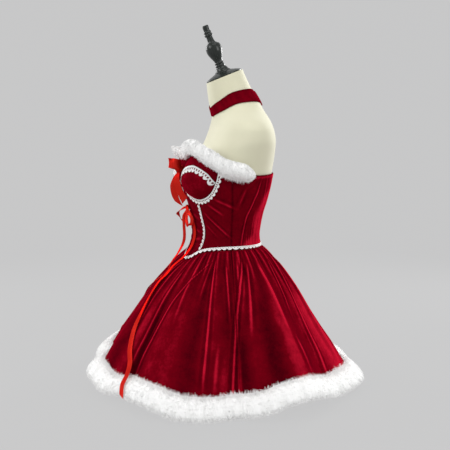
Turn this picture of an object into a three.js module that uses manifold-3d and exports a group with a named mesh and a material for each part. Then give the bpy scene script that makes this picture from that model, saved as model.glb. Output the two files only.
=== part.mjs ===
// A strapless velvet dress with fur trims, lace and satin bows, and its velvet choker, on a limbless
// dress form. Millimetres: +X is the wearer's left, -Y the front, +Z up, and z = 0 is the floor.

import * as THREE from 'three';
import Module from 'manifold-3d';
import { mergeVertices } from 'three/addons/utils/BufferGeometryUtils.js';

const wasm = await Module();
wasm.setup();

// Driving dimensions
const VELVET = 1.6; // wall of the bodice
const SKIRT_WALL = 2; // wall of the gathered skirt
const SEAM = 0.3; // what parts two neighbouring pieces
const LIFT = 0.6; // how far a trim lies off the panel that carries it
const LACE = 1; // thickness of the lace
const RIBBON = 1; // thickness of the satin ribbon
const SIDE_SEAM = 84; // degrees from the centre front
const ROUND = 2.25; // exponent of the rounded outline of every level section
const HEM_RADIUS = 322;
const HEM_HEIGHT = 19;
const COLUMNS = 128; // columns of points round the skirt, four to a gather
const GATHERS = 32; // small gathers round the waist
const RIDGES = 16; // folds that the gathers run out into

const named = (names, row) => Object.fromEntries(names.map((name, i) => [name, row[i]]));
const rows = (names, values) => values.map((row) => named(names, row));

// The dress form: level sections, tilted near the neck
const FORM = rows(['z', 'half', 'front', 'back', 'tilt'], [
  [150, 156, -104, 112, 0],
  [205, 162, -108, 118, 0],
  [255, 153, -106, 114, 0],
  [300, 128, -98, 101, 0],
  [330, 118, -89, 91, 0],
  [360, 114, -84, 85, 0],
  [385, 115.4, -81.9, 83.4, 0],
  [420, 114, -82, 84, 0],
  [450, 118, -87, 92, 0],
  [485, 126, -92, 102, 0],
  [520, 133, -94, 111, 0],
  [555, 140, -86, 117, 0],
  [590, 148, -68, 121, 0],
  [620, 154, -49, 122, 0],
  [645, 152, -38, 118, 0],
  [665, 140, -32, 112, 1],
  [682, 113, -30, 105, 3],
  [698, 86, -31, 96, 6],
  [714, 69, -35, 87, 10],
  [736, 58, -40, 71, 15],
  [762, 52.5, -44, 56, 19],
  [788, 48.5, -47, 44, 22],
]);

// The outside of the bodice, before the cups stand out of it
const BODICE = rows(['z', 'half', 'front', 'back'], [
  [290, 138, -120, 114],
  [305, 134, -114, 110],
  [320, 129, -106, 104],
  [340, 123, -97, 95],
  [360, 119, -89, 89],
  [385, 117.5, -84, 85.5],
  [410, 118.5, -85, 88],
  [440, 123, -89, 94],
  [465, 128, -95, 102],
  [490, 133, -104, 109],
  [520, 139, -111, 116.5],
  [550, 145, -107, 122],
  [580, 151, -95, 127],
  [615, 156, -78, 129],
]);

// Edges of the bodice, by the angle from the centre front
const TOP_EDGE = rows(['angle', 'z'], [
  [0, 590],
  [12, 593],
  [25, 591],
  [38, 585],
  [50, 573],
  [62, 562],
  [75, 551],
  [88, 545],
  [100, 541],
  [115, 539],
  [135, 541],
  [160, 543],
  [180, 543],
]);
const WAIST_EDGE = rows(['angle', 'z'], [
  [0, 318],
  [15, 326],
  [31, 341],
  [45, 349],
  [60, 353],
  [84, 356],
  [120, 357],
  [180, 358],
]);
const PRINCESS_LINE = rows(['z', 'angle'], [
  [300, 26],
  [343, 29.5],
  [365, 34],
  [400, 37],
  [435, 33],
  [480, 30],
]);

// Each cup, in millimetres across (outwards) and up from its middle
const CUP = { angle: 34, z: 534, outer: 65, inner: 62, below: 54, above: 130, depth: 26, arc: 122 };
const CUP_SEAM = rows(['across', 'up'], [
  [-62, -15],
  [-54, -5],
  [-44, 5],
  [-32, 13],
  [-18, 19],
  [-4, 23],
  [10, 25],
  [26, 21],
  [44, 11],
  [57, -3],
  [65, -12],
]);

// The skirt: how wide it is by how far down, its hem by angle, and the valleys between its big lobes
const FLARE = rows(['drop', 'share'], [
  [0, 0],
  [0.06, 0.09],
  [0.15, 0.2],
  [0.3, 0.36],
  [0.46, 0.5],
  [0.62, 0.645],
  [0.75, 0.775],
  [0.87, 0.88],
  [1, 1],
  [1.2, 1.17],
]);
const HEM = rows(['angle', 'rise'], [
  [-180, 8],
  [-140, 6],
  [-110, 14],
  [-85, 44],
  [-66, 72],
  [-52, 78],
  [-40, 54],
  [-28, 40],
  [-10, 31],
  [8, 20],
  [20, 7],
  [32, 13],
  [42, 17],
  [50, 11],
  [60, -3],
  [72, -5],
  [83, -3],
  [92, 6],
  [102, 24],
  [111, 29],
  [122, 17],
  [133, 3],
  [146, 5],
  [160, 9],
  [180, 8],
]);
const VALLEYS = [-187, -140, -98, -66, -43, -15, 27, 82, 133, 173, 220];
const LOBE_DEPTH = 26;
const LOBE_WIDTH = 46; // width in degrees at which a lobe has its full depth
const GATHER_DEPTH = 2.4;
const RIDGE_DEPTH = 4.5;
const FRONT_FULLNESS = 0.055; // how much rounder the skirt hangs at the front
const TUCK = 2.5; // how far under the bodice's lower edge the skirt starts

const radians = THREE.MathUtils.degToRad;
const vector = (x, y, z) => new THREE.Vector3(x, y, z);

// A monotone cubic through two columns of a table
function smooth(table, from, to) {
  const x = table.map((row) => row[from]);
  const y = table.map((row) => row[to]);
  const last = x.length - 1;
  const width = x.slice(1).map((value, i) => value - x[i]);
  const slope = width.map((value, i) => (y[i + 1] - y[i]) / value);
  const tangent = y.map((_, i) => {
    if (i === 0) return slope[0];
    if (i === last) return slope[last - 1];
    if (slope[i - 1] * slope[i] <= 0) return 0;
    const before = 2 * width[i] + width[i - 1];
    const after = width[i] + 2 * width[i - 1];
    return (before + after) / (before / slope[i - 1] + after / slope[i]);
  });
  return (value) => {
    const at = Math.min(Math.max(value, x[0]), x[last]);
    let i = 0;
    while (i < last - 1 && at > x[i + 1]) i += 1;
    const s = (at - x[i]) / width[i];
    return y[i] * (1 + 2 * s) * (1 - s) ** 2 + tangent[i] * width[i] * s * (1 - s) ** 2
      + y[i + 1] * s * s * (3 - 2 * s) + tangent[i + 1] * width[i] * s * s * (s - 1);
  };
}

const form = {
  half: smooth(FORM, 'z', 'half'),
  front: smooth(FORM, 'z', 'front'),
  back: smooth(FORM, 'z', 'back'),
  tilt: smooth(FORM, 'z', 'tilt'),
};
const body = {
  half: smooth(BODICE, 'z', 'half'),
  front: smooth(BODICE, 'z', 'front'),
  back: smooth(BODICE, 'z', 'back'),
};
const topEdge = smooth(TOP_EDGE, 'angle', 'z');
const waistEdge = smooth(WAIST_EDGE, 'angle', 'z');
const princess = smooth(PRINCESS_LINE, 'z', 'angle');
const cupSeam = smooth(CUP_SEAM, 'across', 'up');
const flare = smooth(FLARE, 'drop', 'share');
const hemRise = smooth(HEM, 'angle', 'rise');

const top = (angle) => topEdge(Math.abs(angle));
const waist = (angle) => waistEdge(Math.abs(angle));
const wrap = (angle) => ((((angle + 180) % 360) + 360) % 360) - 180;
const count = (length) => Array.from({ length }, (_, i) => i);
const steps = (from, to, number) => count(number + 1).map((i) => from + ((to - from) * i) / number);
const easeBetween = (low, high, value) => THREE.MathUtils.smoothstep(value, low, high);

// A point of a level section, by its angle from the centre front
function sectionPoint(angle, half, front, back, z, tilt = 0) {
  const s = Math.sin(radians(angle));
  const c = Math.cos(radians(angle));
  const power = 2 / ROUND;
  const x = half * Math.sign(s) * Math.abs(s) ** power;
  const rise = (-(back - front) / 2) * Math.sign(c) * Math.abs(c) ** power;
  return vector(x, (front + back) / 2 + rise, z + rise * Math.tan(radians(tilt)));
}

// A surface moved out along its own normal
function offsetPoint(surface, angle, z, out) {
  const turn = 0.06;
  const lift = 1;
  const across = surface(angle + turn, z).sub(surface(angle - turn, z));
  const up = surface(angle, z + lift).sub(surface(angle, z - lift));
  return surface(angle, z).addScaledVector(across.cross(up).normalize(), out);
}

function formSurface(angle, z) {
  return sectionPoint(angle, form.half(z), form.front(z), form.back(z), z, form.tilt(z));
}
function bodySurface(angle, z) {
  return sectionPoint(angle, body.half(z), body.front(z), body.back(z), z);
}
const formPoint = (angle, z, out) => offsetPoint(formSurface, angle, z, out);

function cupHeight(angle, z) {
  const across = (radians(Math.abs(angle) - CUP.angle)) * CUP.arc;
  const up = z - CUP.z;
  const reach = across < 0 ? CUP.inner : CUP.outer;
  const level = up < 0 ? CUP.below : CUP.above;
  const inside = Math.max(0, 1 - (across / reach) ** 2 - (up / level) ** 2);
  return CUP.depth * inside ** (0.75 + 0.75 * easeBetween(-25, 45, up));
}

const bodicePoint = (angle, z, out) => offsetPoint(bodySurface, angle, z, out + cupHeight(angle, z));

// A place on a cup, or beyond its edge, as an angle and a height, on the wearer's left
const cupPlace = (across, up) => [CUP.angle + (across / CUP.arc) * (180 / Math.PI), CUP.z + up];

// The edge of a cup: turn is 0 at its lowest point, 90 at the outer side and -90 at the inner side
function cupEdge(turn, beyond = 0) {
  const s = Math.sin(radians(turn));
  const c = Math.cos(radians(turn));
  const reach = turn < 0 ? CUP.inner : CUP.outer;
  const level = c > 0 ? CUP.below : CUP.above;
  const normal = new THREE.Vector2(s / reach, -c / level).normalize();
  return cupPlace(reach * s + normal.x * beyond, -level * c + normal.y * beyond);
}

// The height of a lobe, from its rounded valleys to its crest
function lobe(angle) {
  const at = wrap(angle);
  const i = VALLEYS.findLastIndex((valley) => valley <= at);
  const width = VALLEYS[i + 1] - VALLEYS[i];
  const wave = Math.sin((Math.PI * (at - VALLEYS[i])) / width);
  const rounding = 0.02;
  const middle = 0.62;
  return ((Math.sqrt(wave * wave + rounding) - middle) * width) / LOBE_WIDTH;
}

// Gathers at the waist run out into ridges, which run on to the hem
function folds(angle, drop) {
  const gathers = Math.cos(radians(angle * GATHERS));
  const gathered = easeBetween(-0.03, 0.04, drop) * (1 - easeBetween(0.12, 0.5, drop));
  const drift = 50 * Math.sin(radians(angle * 3));
  const ridges = Math.cos(radians(angle * RIDGES + drift));
  const size = 0.65 + 0.35 * Math.sin(radians(angle * 5 + 40));
  const raised = easeBetween(0.05, 0.45, drop) * (1 - 0.45 * easeBetween(0.6, 1, drop));
  return GATHER_DEPTH * gathers * gathered + RIDGE_DEPTH * ridges * size * raised;
}

// A point of the skirt's outside: drop is 0 at the waist and 1 at the hem
function skirtPoint(angle, drop, out) {
  const start = bodicePoint(angle, waist(angle) - TUCK, 0);
  const s = Math.sin(radians(angle));
  const c = Math.cos(radians(angle));
  const fullness = FRONT_FULLNESS * Math.sin(Math.PI * Math.min(drop, 1)) * Math.max(0, c);
  const share = flare(drop) + fullness;
  const wide = HEM_RADIUS * share + LOBE_DEPTH * lobe(angle) * drop ** 0.9 + folds(angle, drop) + out;
  const x = start.x * (1 - share) + s * wide;
  const y = start.y * (1 - share) - c * wide;
  return vector(x, y, start.z + (HEM_HEIGHT + hemRise(wrap(angle)) - start.z) * drop);
}

// A closed body from points and triangles, turned so that its faces point out
function solid(points, triangles) {
  const geometry = new THREE.BufferGeometry();
  const places = points.flatMap((p) => [p.x, p.y, p.z]);
  geometry.setAttribute('position', new THREE.Float32BufferAttribute(places, 3));
  const part = ([a, b, c]) => points[a].dot(points[b].clone().cross(points[c]));
  const volume = triangles.reduce((sum, triangle) => sum + part(triangle), 0);
  geometry.setIndex(triangles.flatMap(([a, b, c]) => (volume < 0 ? [a, c, b] : [a, b, c])));
  const merged = mergeVertices(geometry, 1e-4);
  const index = Array.from(merged.index.array);
  const kept = [];
  for (let i = 0; i < index.length; i += 3) {
    const [a, b, c] = index.slice(i, i + 3);
    if (a !== b && b !== c && c !== a) kept.push(a, b, c);
  }
  merged.setIndex(kept);
  return merged;
}

// Rings of points joined one to the next, and closed at the ends or round on themselves
function sweep(rings, { round = false, cap = [] } = {}) {
  const size = rings[0].length;
  const triangles = [];
  const joined = round ? rings.length : rings.length - 1;
  for (let i = 0; i < joined; i += 1) {
    const here = i * size;
    const next = ((i + 1) % rings.length) * size;
    for (let j = 0; j < size; j += 1) {
      const k = (j + 1) % size;
      triangles.push([here + j, next + j, next + k], [here + j, next + k, here + k]);
    }
  }
  if (!round) {
    const end = (rings.length - 1) * size;
    cap.forEach(([a, b, c]) => triangles.push([a, b, c], [end + a, end + c, end + b]));
  }
  return solid(rings.flat(), triangles);
}

// Triangles over a ring of 2n points that runs down n outer points and back up n inner ones
function stripCap(size) {
  return count(size - 1).flatMap((i) => {
    const back = 2 * size - 1 - i;
    return [[i, i + 1, back], [i + 1, back - 1, back]];
  });
}

// A cloth wall: outer and inner are functions of a column and a row
function wall(columns, levels, outer, inner, round = false) {
  const back = [...levels].reverse();
  const rings = columns.map((c) => [...levels.map((r) => outer(c, r)), ...back.map((r) => inner(c, r))]);
  return sweep(rings, { round, cap: stripCap(levels.length) });
}

// A fan over a convex ring
const fanCap = (size) => count(size - 2).map((i) => [0, i + 1, i + 2]);

// Triangles over an outline that isn't convex
function outlineCap(outline) {
  const points = outline.map(([a, b]) => new THREE.Vector2(a, b));
  const faces = THREE.ShapeUtils.triangulateShape(points, []);
  const turn = Math.sign(THREE.ShapeUtils.area(points));
  const faceTurn = Math.sign(THREE.ShapeUtils.area(faces[0].map((i) => points[i])));
  return turn === faceTurn ? faces : faces.map(([a, b, c]) => [a, c, b]);
}

// Places inside four edges, each a list of [angle, height] pairs that meet at the corners
function fillEdges(left, right, bottom, upper) {
  const down = left.length - 1;
  const along = bottom.length - 1;
  const degree = 2; // millimetres to a degree, near enough to share out the rows
  const step = ([a1, z1], [a2, z2]) => Math.hypot(degree * (a2 - a1), z2 - z1);
  const share = (list) => {
    const lengths = list.map((p, i) => (i ? step(list[i - 1], p) : 0));
    const total = lengths.reduce((sum, value) => sum + value, 0);
    let run = 0;
    return lengths.map((value) => {
      run += value;
      return run / total;
    });
  };
  const rowShare = share(left).map((value, i) => (value + share(right)[i]) / 2);
  const columnShare = share(bottom).map((value, i) => (value + share(upper)[i]) / 2);
  return (i, j) => {
    const v = rowShare[j];
    const u = columnShare[i];
    return [0, 1].map((k) => {
      const sides = (1 - u) * left[j][k] + u * right[j][k];
      const ends = (1 - v) * bottom[i][k] + v * upper[i][k];
      const lower = (1 - u) * bottom[0][k] + u * bottom[along][k];
      const higher = (1 - u) * left[down][k] + u * right[down][k];
      return sides + ends - (1 - v) * lower - v * higher;
    });
  };
}

// A panel of the bodice between four edges, a little inside them at its seams
function panel(left, right, bottom, upper, side = 1) {
  const place = fillEdges(left, right, bottom, upper);
  const point = (out) => (i, j) => {
    const [angle, z] = place(i, j);
    return bodicePoint(angle * side, z, out);
  };
  return wall(bottom.map((_, i) => i), left.map((_, j) => j), point(0), point(-VELVET));
}

const HALF_GAP = 0.25; // each panel stops this far short of its seam, in millimetres
const CUP_SEAM_GAP = 0.35; // the same at the cup seam, straight up or down from it
const turnOf = (gap) => (gap / CUP.arc) * (180 / Math.PI);

// Where the edge of a cup crosses the top of the bodice
function topCrossing(side) {
  let low = 20;
  let high = 90;
  for (let i = 0; i < 40; i += 1) {
    const up = (low + high) / 2;
    const reach = (side < 0 ? CUP.inner : CUP.outer) * Math.sqrt(1 - (up / CUP.above) ** 2);
    const [angle, z] = cupPlace(side * reach, up);
    if (z < top(angle)) low = up;
    else high = up;
  }
  return low;
}

// The side of a cup between two heights, as a list of places
function cupSide(side, from, to, number, beyond) {
  return steps(from, to, number).map((up) => {
    const level = up < 0 ? CUP.below : CUP.above;
    const turn = (Math.acos(Math.min(1, Math.abs(up) / level)) * 180) / Math.PI;
    return cupEdge(side * (up < 0 ? turn : 180 - turn), beyond);
  });
}

const PRINCESS_TOP_TURN = -8; // where the princess seam runs into the cup
const princessFoot = (() => {
  let angle = 28;
  for (let i = 0; i < 20; i += 1) angle = princess(waist(angle));
  return angle;
})();

// The princess seam from the waist to the cup, as places, moved sideways by a gap
function princessSeam(gap) {
  const end = cupEdge(PRINCESS_TOP_TURN)[1];
  return steps(waist(princessFoot), end, 7).map((z) => [princess(z) + turnOf(gap), z]).slice(0, -1);
}

// An upright edge, kept above the waist, whose two ends are set on the waist and the top edge
function fromWaistToTop(edge) {
  const kept = edge.map(([angle, z]) => [angle, Math.max(z, waist(angle))]);
  const foot = kept[0];
  const head = kept[kept.length - 1];
  foot[1] = waist(foot[0]);
  head[1] = top(head[0]);
  return kept;
}

// A level edge that follows a height from one angle to another
function levelEdge(height, from, to, number) {
  return steps(from, to, number).map((angle) => [angle, height(angle)]);
}

function centreFront() {
  const turns = [PRINCESS_TOP_TURN, -14, -22, -32, -44, -58, -74];
  const arc = turns.map((turn) => cupEdge(turn, HALF_GAP));
  const rise = cupSide(-1, -4, topCrossing(-1), 4, HALF_GAP);
  const edge = fromWaistToTop([...princessSeam(-HALF_GAP), ...arc, ...rise]);
  const mirror = edge.map(([angle, z]) => [-angle, z]);
  const foot = edge[0][0];
  const head = edge[edge.length - 1][0];
  return panel(mirror, edge, levelEdge(waist, -foot, foot, 8), levelEdge(top, -head, head, 8));
}

const CUP_COLUMNS = 14;
const SEAM_END = -20; // the lower cup's points are cut off at this height
const POINT_CUT = 2.6; // and this far short of the cup's reach

function lowerCup(side) {
  const end = (Math.acos(-SEAM_END / CUP.below) * 180) / Math.PI;
  const turns = steps(-end, end, CUP_COLUMNS);
  const bottom = turns.map((turn) => cupEdge(turn, -HALF_GAP));
  const upper = turns.map((turn) => {
    const across = ((turn < 0 ? CUP.inner : CUP.outer) - POINT_CUT) * (turn / end);
    return cupPlace(across, cupSeam(across) - CUP_SEAM_GAP);
  });
  const between = ([a1, z1], [a2, z2]) => steps(0, 1, 4).map((v) => [a1 + (a2 - a1) * v, z1 + (z2 - z1) * v]);
  const last = CUP_COLUMNS;
  return panel(between(bottom[0], upper[0]), between(bottom[last], upper[last]), bottom, upper, side);
}

const UPPER_CUP_FOOT = -13; // where the sides of the upper cup start, up from the cup's middle
const UPPER_CUP_COLUMNS = 12;

function upperCup(side) {
  const edge = (outward) => {
    const line = cupSide(outward, UPPER_CUP_FOOT, topCrossing(outward), 4, -HALF_GAP);
    line[4][1] = top(line[4][0]);
    return line;
  };
  const inner = edge(-1);
  const outer = edge(1);
  const [from, to] = [inner, outer].map(([[angle]]) => radians(angle - CUP.angle) * CUP.arc);
  const seam = (across) => cupPlace(across, cupSeam(across) + CUP_SEAM_GAP);
  const bottom = steps(from, to, UPPER_CUP_COLUMNS).map(seam);
  inner[0] = bottom[0];
  outer[0] = bottom[UPPER_CUP_COLUMNS];
  return panel(inner, outer, bottom, levelEdge(top, inner[4][0], outer[4][0], UPPER_CUP_COLUMNS), side);
}

function sideFront(side) {
  const turns = [PRINCESS_TOP_TURN, 4, 16, 29, 43, 58, 73, 86];
  const arc = turns.map((turn) => cupEdge(turn, HALF_GAP));
  const rise = cupSide(1, 8, topCrossing(1), 3, HALF_GAP);
  const inner = fromWaistToTop([...princessSeam(HALF_GAP), ...arc, ...rise]);
  const seam = SIDE_SEAM - turnOf(HALF_GAP);
  const last = inner.length - 1;
  const [foot, low] = inner[0];
  const [head, high] = inner[last];
  const even = steps(waist(seam), top(seam), last);
  const level = (z) => waist(seam) + ((z - low) / (high - low)) * (top(seam) - waist(seam));
  const outer = inner.map(([, z], i) => [seam, (even[i] + level(z)) / 2]);
  return panel(inner, outer, levelEdge(waist, foot, seam, 6), levelEdge(top, head, seam, 6), side);
}

function backPanel(side) {
  const from = SIDE_SEAM + turnOf(HALF_GAP);
  const to = 180 - turnOf(HALF_GAP);
  const edge = (angle) => steps(waist(angle), top(angle), 8).map((z) => [angle, z]);
  return panel(edge(from), edge(to), levelEdge(waist, from, to, 9), levelEdge(top, from, to, 9), side);
}

const SKIRT_LEVELS = [0.001, 0.05, 0.14, 0.27, 0.43, 0.66, 0.9, 1];
const STEP = 360 / COLUMNS;

// Columns of the front or the back of the skirt, from side seam to side seam
function skirtColumns(back) {
  const gap = 0.05;
  const first = back ? SIDE_SEAM + gap : gap - SIDE_SEAM;
  const last = back ? 360 - SIDE_SEAM - gap : SIDE_SEAM - gap;
  const inside = count(2 * COLUMNS).map((i) => i * STEP - 180);
  return [first, ...inside.filter((angle) => angle > first + gap && angle < last - gap), last];
}

function skirtPanel(back) {
  const point = (out) => (angle, drop) => skirtPoint(angle, drop, out);
  return wall(skirtColumns(back), SKIRT_LEVELS, point(0), point(-SKIRT_WALL));
}

// The fur on the hem: drop along the skirt and how far it stands out of it
const HEM_FUR = [
  [0.9, 0.6],
  [1, 0.6],
  [1.006, -3],
  [1.03, 4],
  [1.032, 20],
  [0.99, 32],
  [0.93, 28],
  [0.895, 11],
];
function hemFur(back) {
  const rings = skirtColumns(back).map((a) => HEM_FUR.map(([drop, out]) => skirtPoint(a, drop, out)));
  return sweep(rings, { cap: outlineCap(HEM_FUR) });
}

// The fur on the neckline: how far it stands out of what it lies on, and up from the top edge
const NECK_FUR = [
  [0, -13],
  [0, 0.5],
  [-VELVET, 0.5],
  [-VELVET - 1, 5],
  [0, 21],
  [9, 28],
  [19, 28],
  [28, 20],
  [32, 8],
  [27, -6],
  [13, -15],
];
const NECK_FUR_END = 104;
const NECK_FUR_SIZE = rows(['angle', 'above', 'below', 'out'], [
  [0, 0.3, 1, 1],
  [14, 0.35, 1, 1],
  [24, 0.6, 0.8, 1],
  [34, 0.95, 0.5, 1],
  [46, 1.2, 0.45, 1],
  [60, 1.25, 0.45, 1],
  [76, 1.1, 0.9, 1],
  [92, 1, 1, 1],
  [98, 0.75, 0.8, 0.8],
  [NECK_FUR_END, 0.3, 0.45, 0.4],
]);
const furAbove = smooth(NECK_FUR_SIZE, 'angle', 'above');
const furBelow = smooth(NECK_FUR_SIZE, 'angle', 'below');
const furOut = smooth(NECK_FUR_SIZE, 'angle', 'out');

// It stands upright above the edge, thins out at its ends, and clears the panels' seams at the front
function neckFur() {
  const rings = steps(-NECK_FUR_END, NECK_FUR_END, 48).map((angle) => {
    const turn = Math.abs(angle);
    const clear = 0.7 + 3 * (1 - easeBetween(70, 84, turn));
    return NECK_FUR.map(([out, up]) => {
      const height = up > 1 ? up * furAbove(turn) : up * (up < 0 ? furBelow(turn) : 1);
      const edge = Math.min(height, 0.5);
      const reach = out < 0 ? out : clear + out * furOut(turn);
      return bodicePoint(angle, top(angle) + edge, reach).add(vector(0, 0, height - edge));
    });
  });
  return sweep(rings, { cap: outlineCap(NECK_FUR) });
}

// A lace strip: its heading runs along a path of places, and its free edge swings in and out
function lace(path, scallops, narrow, wide, towards, side, lift = LIFT) {
  const samples = 2 * scallops;
  const rings = steps(0, 1, samples).map((t, i) => {
    const width = i % 2 ? wide : narrow;
    const heading = path(t);
    const edge = towards(t, width);
    const ring = [heading, edge].map(([angle, z]) => bodicePoint(angle * side, z, lift + LACE));
    return [...ring, ...[edge, heading].map(([angle, z]) => bodicePoint(angle * side, z, lift))];
  });
  return sweep(rings, { cap: fanCap(4) });
}

// Lace across the lower cup, just under its seam
function cupTopLace(side) {
  const from = -60;
  const to = 58;
  const across = (t) => from + (to - from) * t;
  const slope = (a) => (cupSeam(a + 1) - cupSeam(a - 1)) / 2;
  const down = (t, width) => {
    const a = across(t);
    const lean = Math.hypot(1, slope(a));
    return cupPlace(a + (slope(a) * width) / lean, cupSeam(a) - 1 - width / lean);
  };
  return lace((t) => down(t, 0), 9, 8, 14, down, side, LIFT + 0.4);
}

// Lace round the underside of the cup, scallops away from it
function cupUnderLace(side) {
  const turn = (t) => -60 + (98 + 60) * t;
  return lace((t) => cupEdge(turn(t), 0.8), 14, 8, 13, (t, width) => cupEdge(turn(t), width), side);
}

// Lace down the princess seam, scallops to the front
function princessLace(side) {
  const low = waist(princessFoot) + 12;
  const high = cupEdge(PRINCESS_TOP_TURN)[1] - 14.5;
  const z = (t) => low + (high - low) * t;
  const towards = (t, width) => [princess(z(t)) + turnOf(2 - width), z(t)];
  return lace((t) => towards(t, 0), 12, 6, 10, towards, side);
}

// Lace round the waist, over the lower edge of the bodice, scallops down
function waistLace() {
  const angle = (t) => 180 - 0.15 + (-360 + 0.3) * t;
  const high = (t, up) => [angle(t), waist(angle(t)) + up];
  return lace((t) => high(t, 8.5), 66, 3, 0.5, (t, up) => high(t, up), 1);
}

// A flat ribbon along a path: each row has a point, a width, and the direction of its breadth
const RIBBON_CORNERS = [[1, 1], [1, -1], [-1, -1], [-1, 1]];
function ribbonRings(track) {
  return track.map(({ at, wide, across }, i) => {
    const before = track[Math.max(0, i - 1)].at;
    const after = track[Math.min(track.length - 1, i + 1)].at;
    const breadth = across.clone().normalize().multiplyScalar(wide / 2);
    const normal = after.clone().sub(before).cross(breadth).normalize().multiplyScalar(RIBBON / 2);
    const corner = ([b, n]) => at.clone().addScaledVector(breadth, b).addScaledVector(normal, n);
    return RIBBON_CORNERS.map(corner);
  });
}

// Places on a ribbon that hangs: lean turns its breadth from the wearer's side to front and back, tip
// raises it
const HANGING = ['x', 'y', 'z', 'wide', 'lean', 'tip'];
function hanging(values) {
  return rows(HANGING, values).map(({ x, y, z, wide, lean, tip }) => {
    const across = vector(1, 0, 0).applyEuler(new THREE.Euler(0, -radians(tip), radians(lean), 'ZYX'));
    return { at: vector(x, y, z), wide, across };
  });
}

// Places on a ribbon that lies along the skirt
const LYING = ['angle', 'drop', 'out', 'wide'];
function lying(values) {
  return rows(LYING, values).map(({ angle, drop, out, wide }) => {
    const across = skirtPoint(angle + 2, drop, out).sub(skirtPoint(angle - 2, drop, out));
    return { at: skirtPoint(angle, drop, out), wide, across: across.normalize() };
  });
}

// A smooth ribbon through its places
function ribbon(places, number) {
  const curve = new THREE.CatmullRomCurve3(places.map((place) => place.at), false, 'centripetal');
  const track = steps(0, 1, number).map((t) => {
    const place = t * (places.length - 1);
    const i = Math.min(Math.floor(place), places.length - 2);
    return {
      at: curve.getPoint(t),
      wide: THREE.MathUtils.lerp(places[i].wide, places[i + 1].wide, place - i),
      across: places[i].across.clone().lerp(places[i + 1].across, place - i),
    };
  });
  return sweep(ribbonRings(track), { cap: fanCap(4) });
}

// Bodies joined into one
function join(geometries) {
  const solids = geometries.map((geometry) => new wasm.Manifold(new wasm.Mesh({
    numProp: 3,
    vertProperties: Float32Array.from(geometry.attributes.position.array),
    triVerts: Uint32Array.from(geometry.index.array),
  })));
  const mesh = solids.reduce((sum, each) => sum.add(each)).getMesh();
  const joined = new THREE.BufferGeometry();
  joined.setAttribute('position', new THREE.Float32BufferAttribute(mesh.vertProperties, 3));
  joined.setIndex(Array.from(mesh.triVerts));
  return joined;
}

// A knot: a block of ribbon with eight sides between two corners, smaller at its two ends
const KNOT_SIDES = 8;
const KNOT_FULLNESS = 1.08; // its corners before they are cut back to the block
const KNOT_RINGS = rows(['x', 'size'], [
  [-1, 0.72],
  [-0.7, 1],
  [0, 1],
  [0.7, 1],
  [1, 0.72],
]);
function knot(low, high) {
  const half = vector(...high).sub(vector(...low)).divideScalar(2);
  const middle = vector(...high).add(vector(...low)).divideScalar(2);
  const side = (value, size) => THREE.MathUtils.clamp(value * KNOT_FULLNESS, -1, 1) * size;
  const rings = KNOT_RINGS.map(({ x, size }) => count(KNOT_SIDES).map((i) => {
    const turn = (2 * Math.PI * (i + 0.5)) / KNOT_SIDES;
    return vector(x, side(Math.cos(turn), size), side(Math.sin(turn), size)).multiply(half).add(middle);
  }));
  return sweep(rings, { cap: fanCap(KNOT_SIDES) });
}

// The big bow under the neckline, stitched to the centre front through its knot
function upperBow() {
  const loop = (side) => ribbon(hanging([
    [side * 2, -126, 556, 11, 0, 90],
    [side * 13, -138, 563, 20, 0, 90],
    [side * 25, -143, 568, 24, 0, 90],
    [side * 32, -137, 567.5, 25, 0, 90],
    [side * 32, -128, 566, 24, 0, 90],
    [side * 22, -121, 562, 18, 0, 90],
    [side * 2, -117, 556, 11, 0, 90],
  ]), 12);
  return join([loop(1), loop(-1), knot([-8, -131, 546], [8, -107.2, 562])]);
}

const upperTails = {
  left: [
    [5.4, -120, 545.4, 8.6, 8, 0],
    [9, -127, 534, 17, 30, 0],
    [13, -127.5, 516, 22, 38, 0],
    [18, -120, 494, 22, 42, 0],
    [24, -110, 473, 22, 44, 25],
  ],
  right: [
    [-5.4, -120, 545.4, 8.6, 10, 0],
    [-9, -128, 532, 17, 30, 0],
    [-16, -133, 510, 21, 42, 0],
    [-20, -128, 484, 21, 42, 0],
    [-21, -118, 462, 18, 40, 0],
  ],
};

// The small bow under the bust, tied in narrower ribbon
function lowerBow() {
  const far = ribbon(hanging([
    [-2, -98, 455, 6, 90, 60],
    [-14, -109, 451, 9, 90, 60],
    [-26, -120, 438, 9, 90, 20],
    [-26, -114, 425, 9, 90, -60],
    [-19, -106, 417, 9, 90, -60],
    [-15, -100, 434, 8, 90, 0],
    [-5, -98, 453, 6, 60, 0],
  ]), 14);
  const near = ribbon(hanging([
    [2, -99, 456, 6, 90, 60],
    [12, -103, 454, 9, 80, 60],
    [29, -101, 442, 9, 60, 20],
    [37, -95, 428, 9, 60, 0],
    [33, -96, 414, 9, 60, -50],
    [22, -102, 409, 9, 60, 60],
    [13, -104, 422, 8, 60, 0],
    [3, -100, 452, 6, 60, 0],
  ]), 16);
  return join([far, near, knot([-6, -104, 448], [6, -93.5, 461])]);
}

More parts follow.
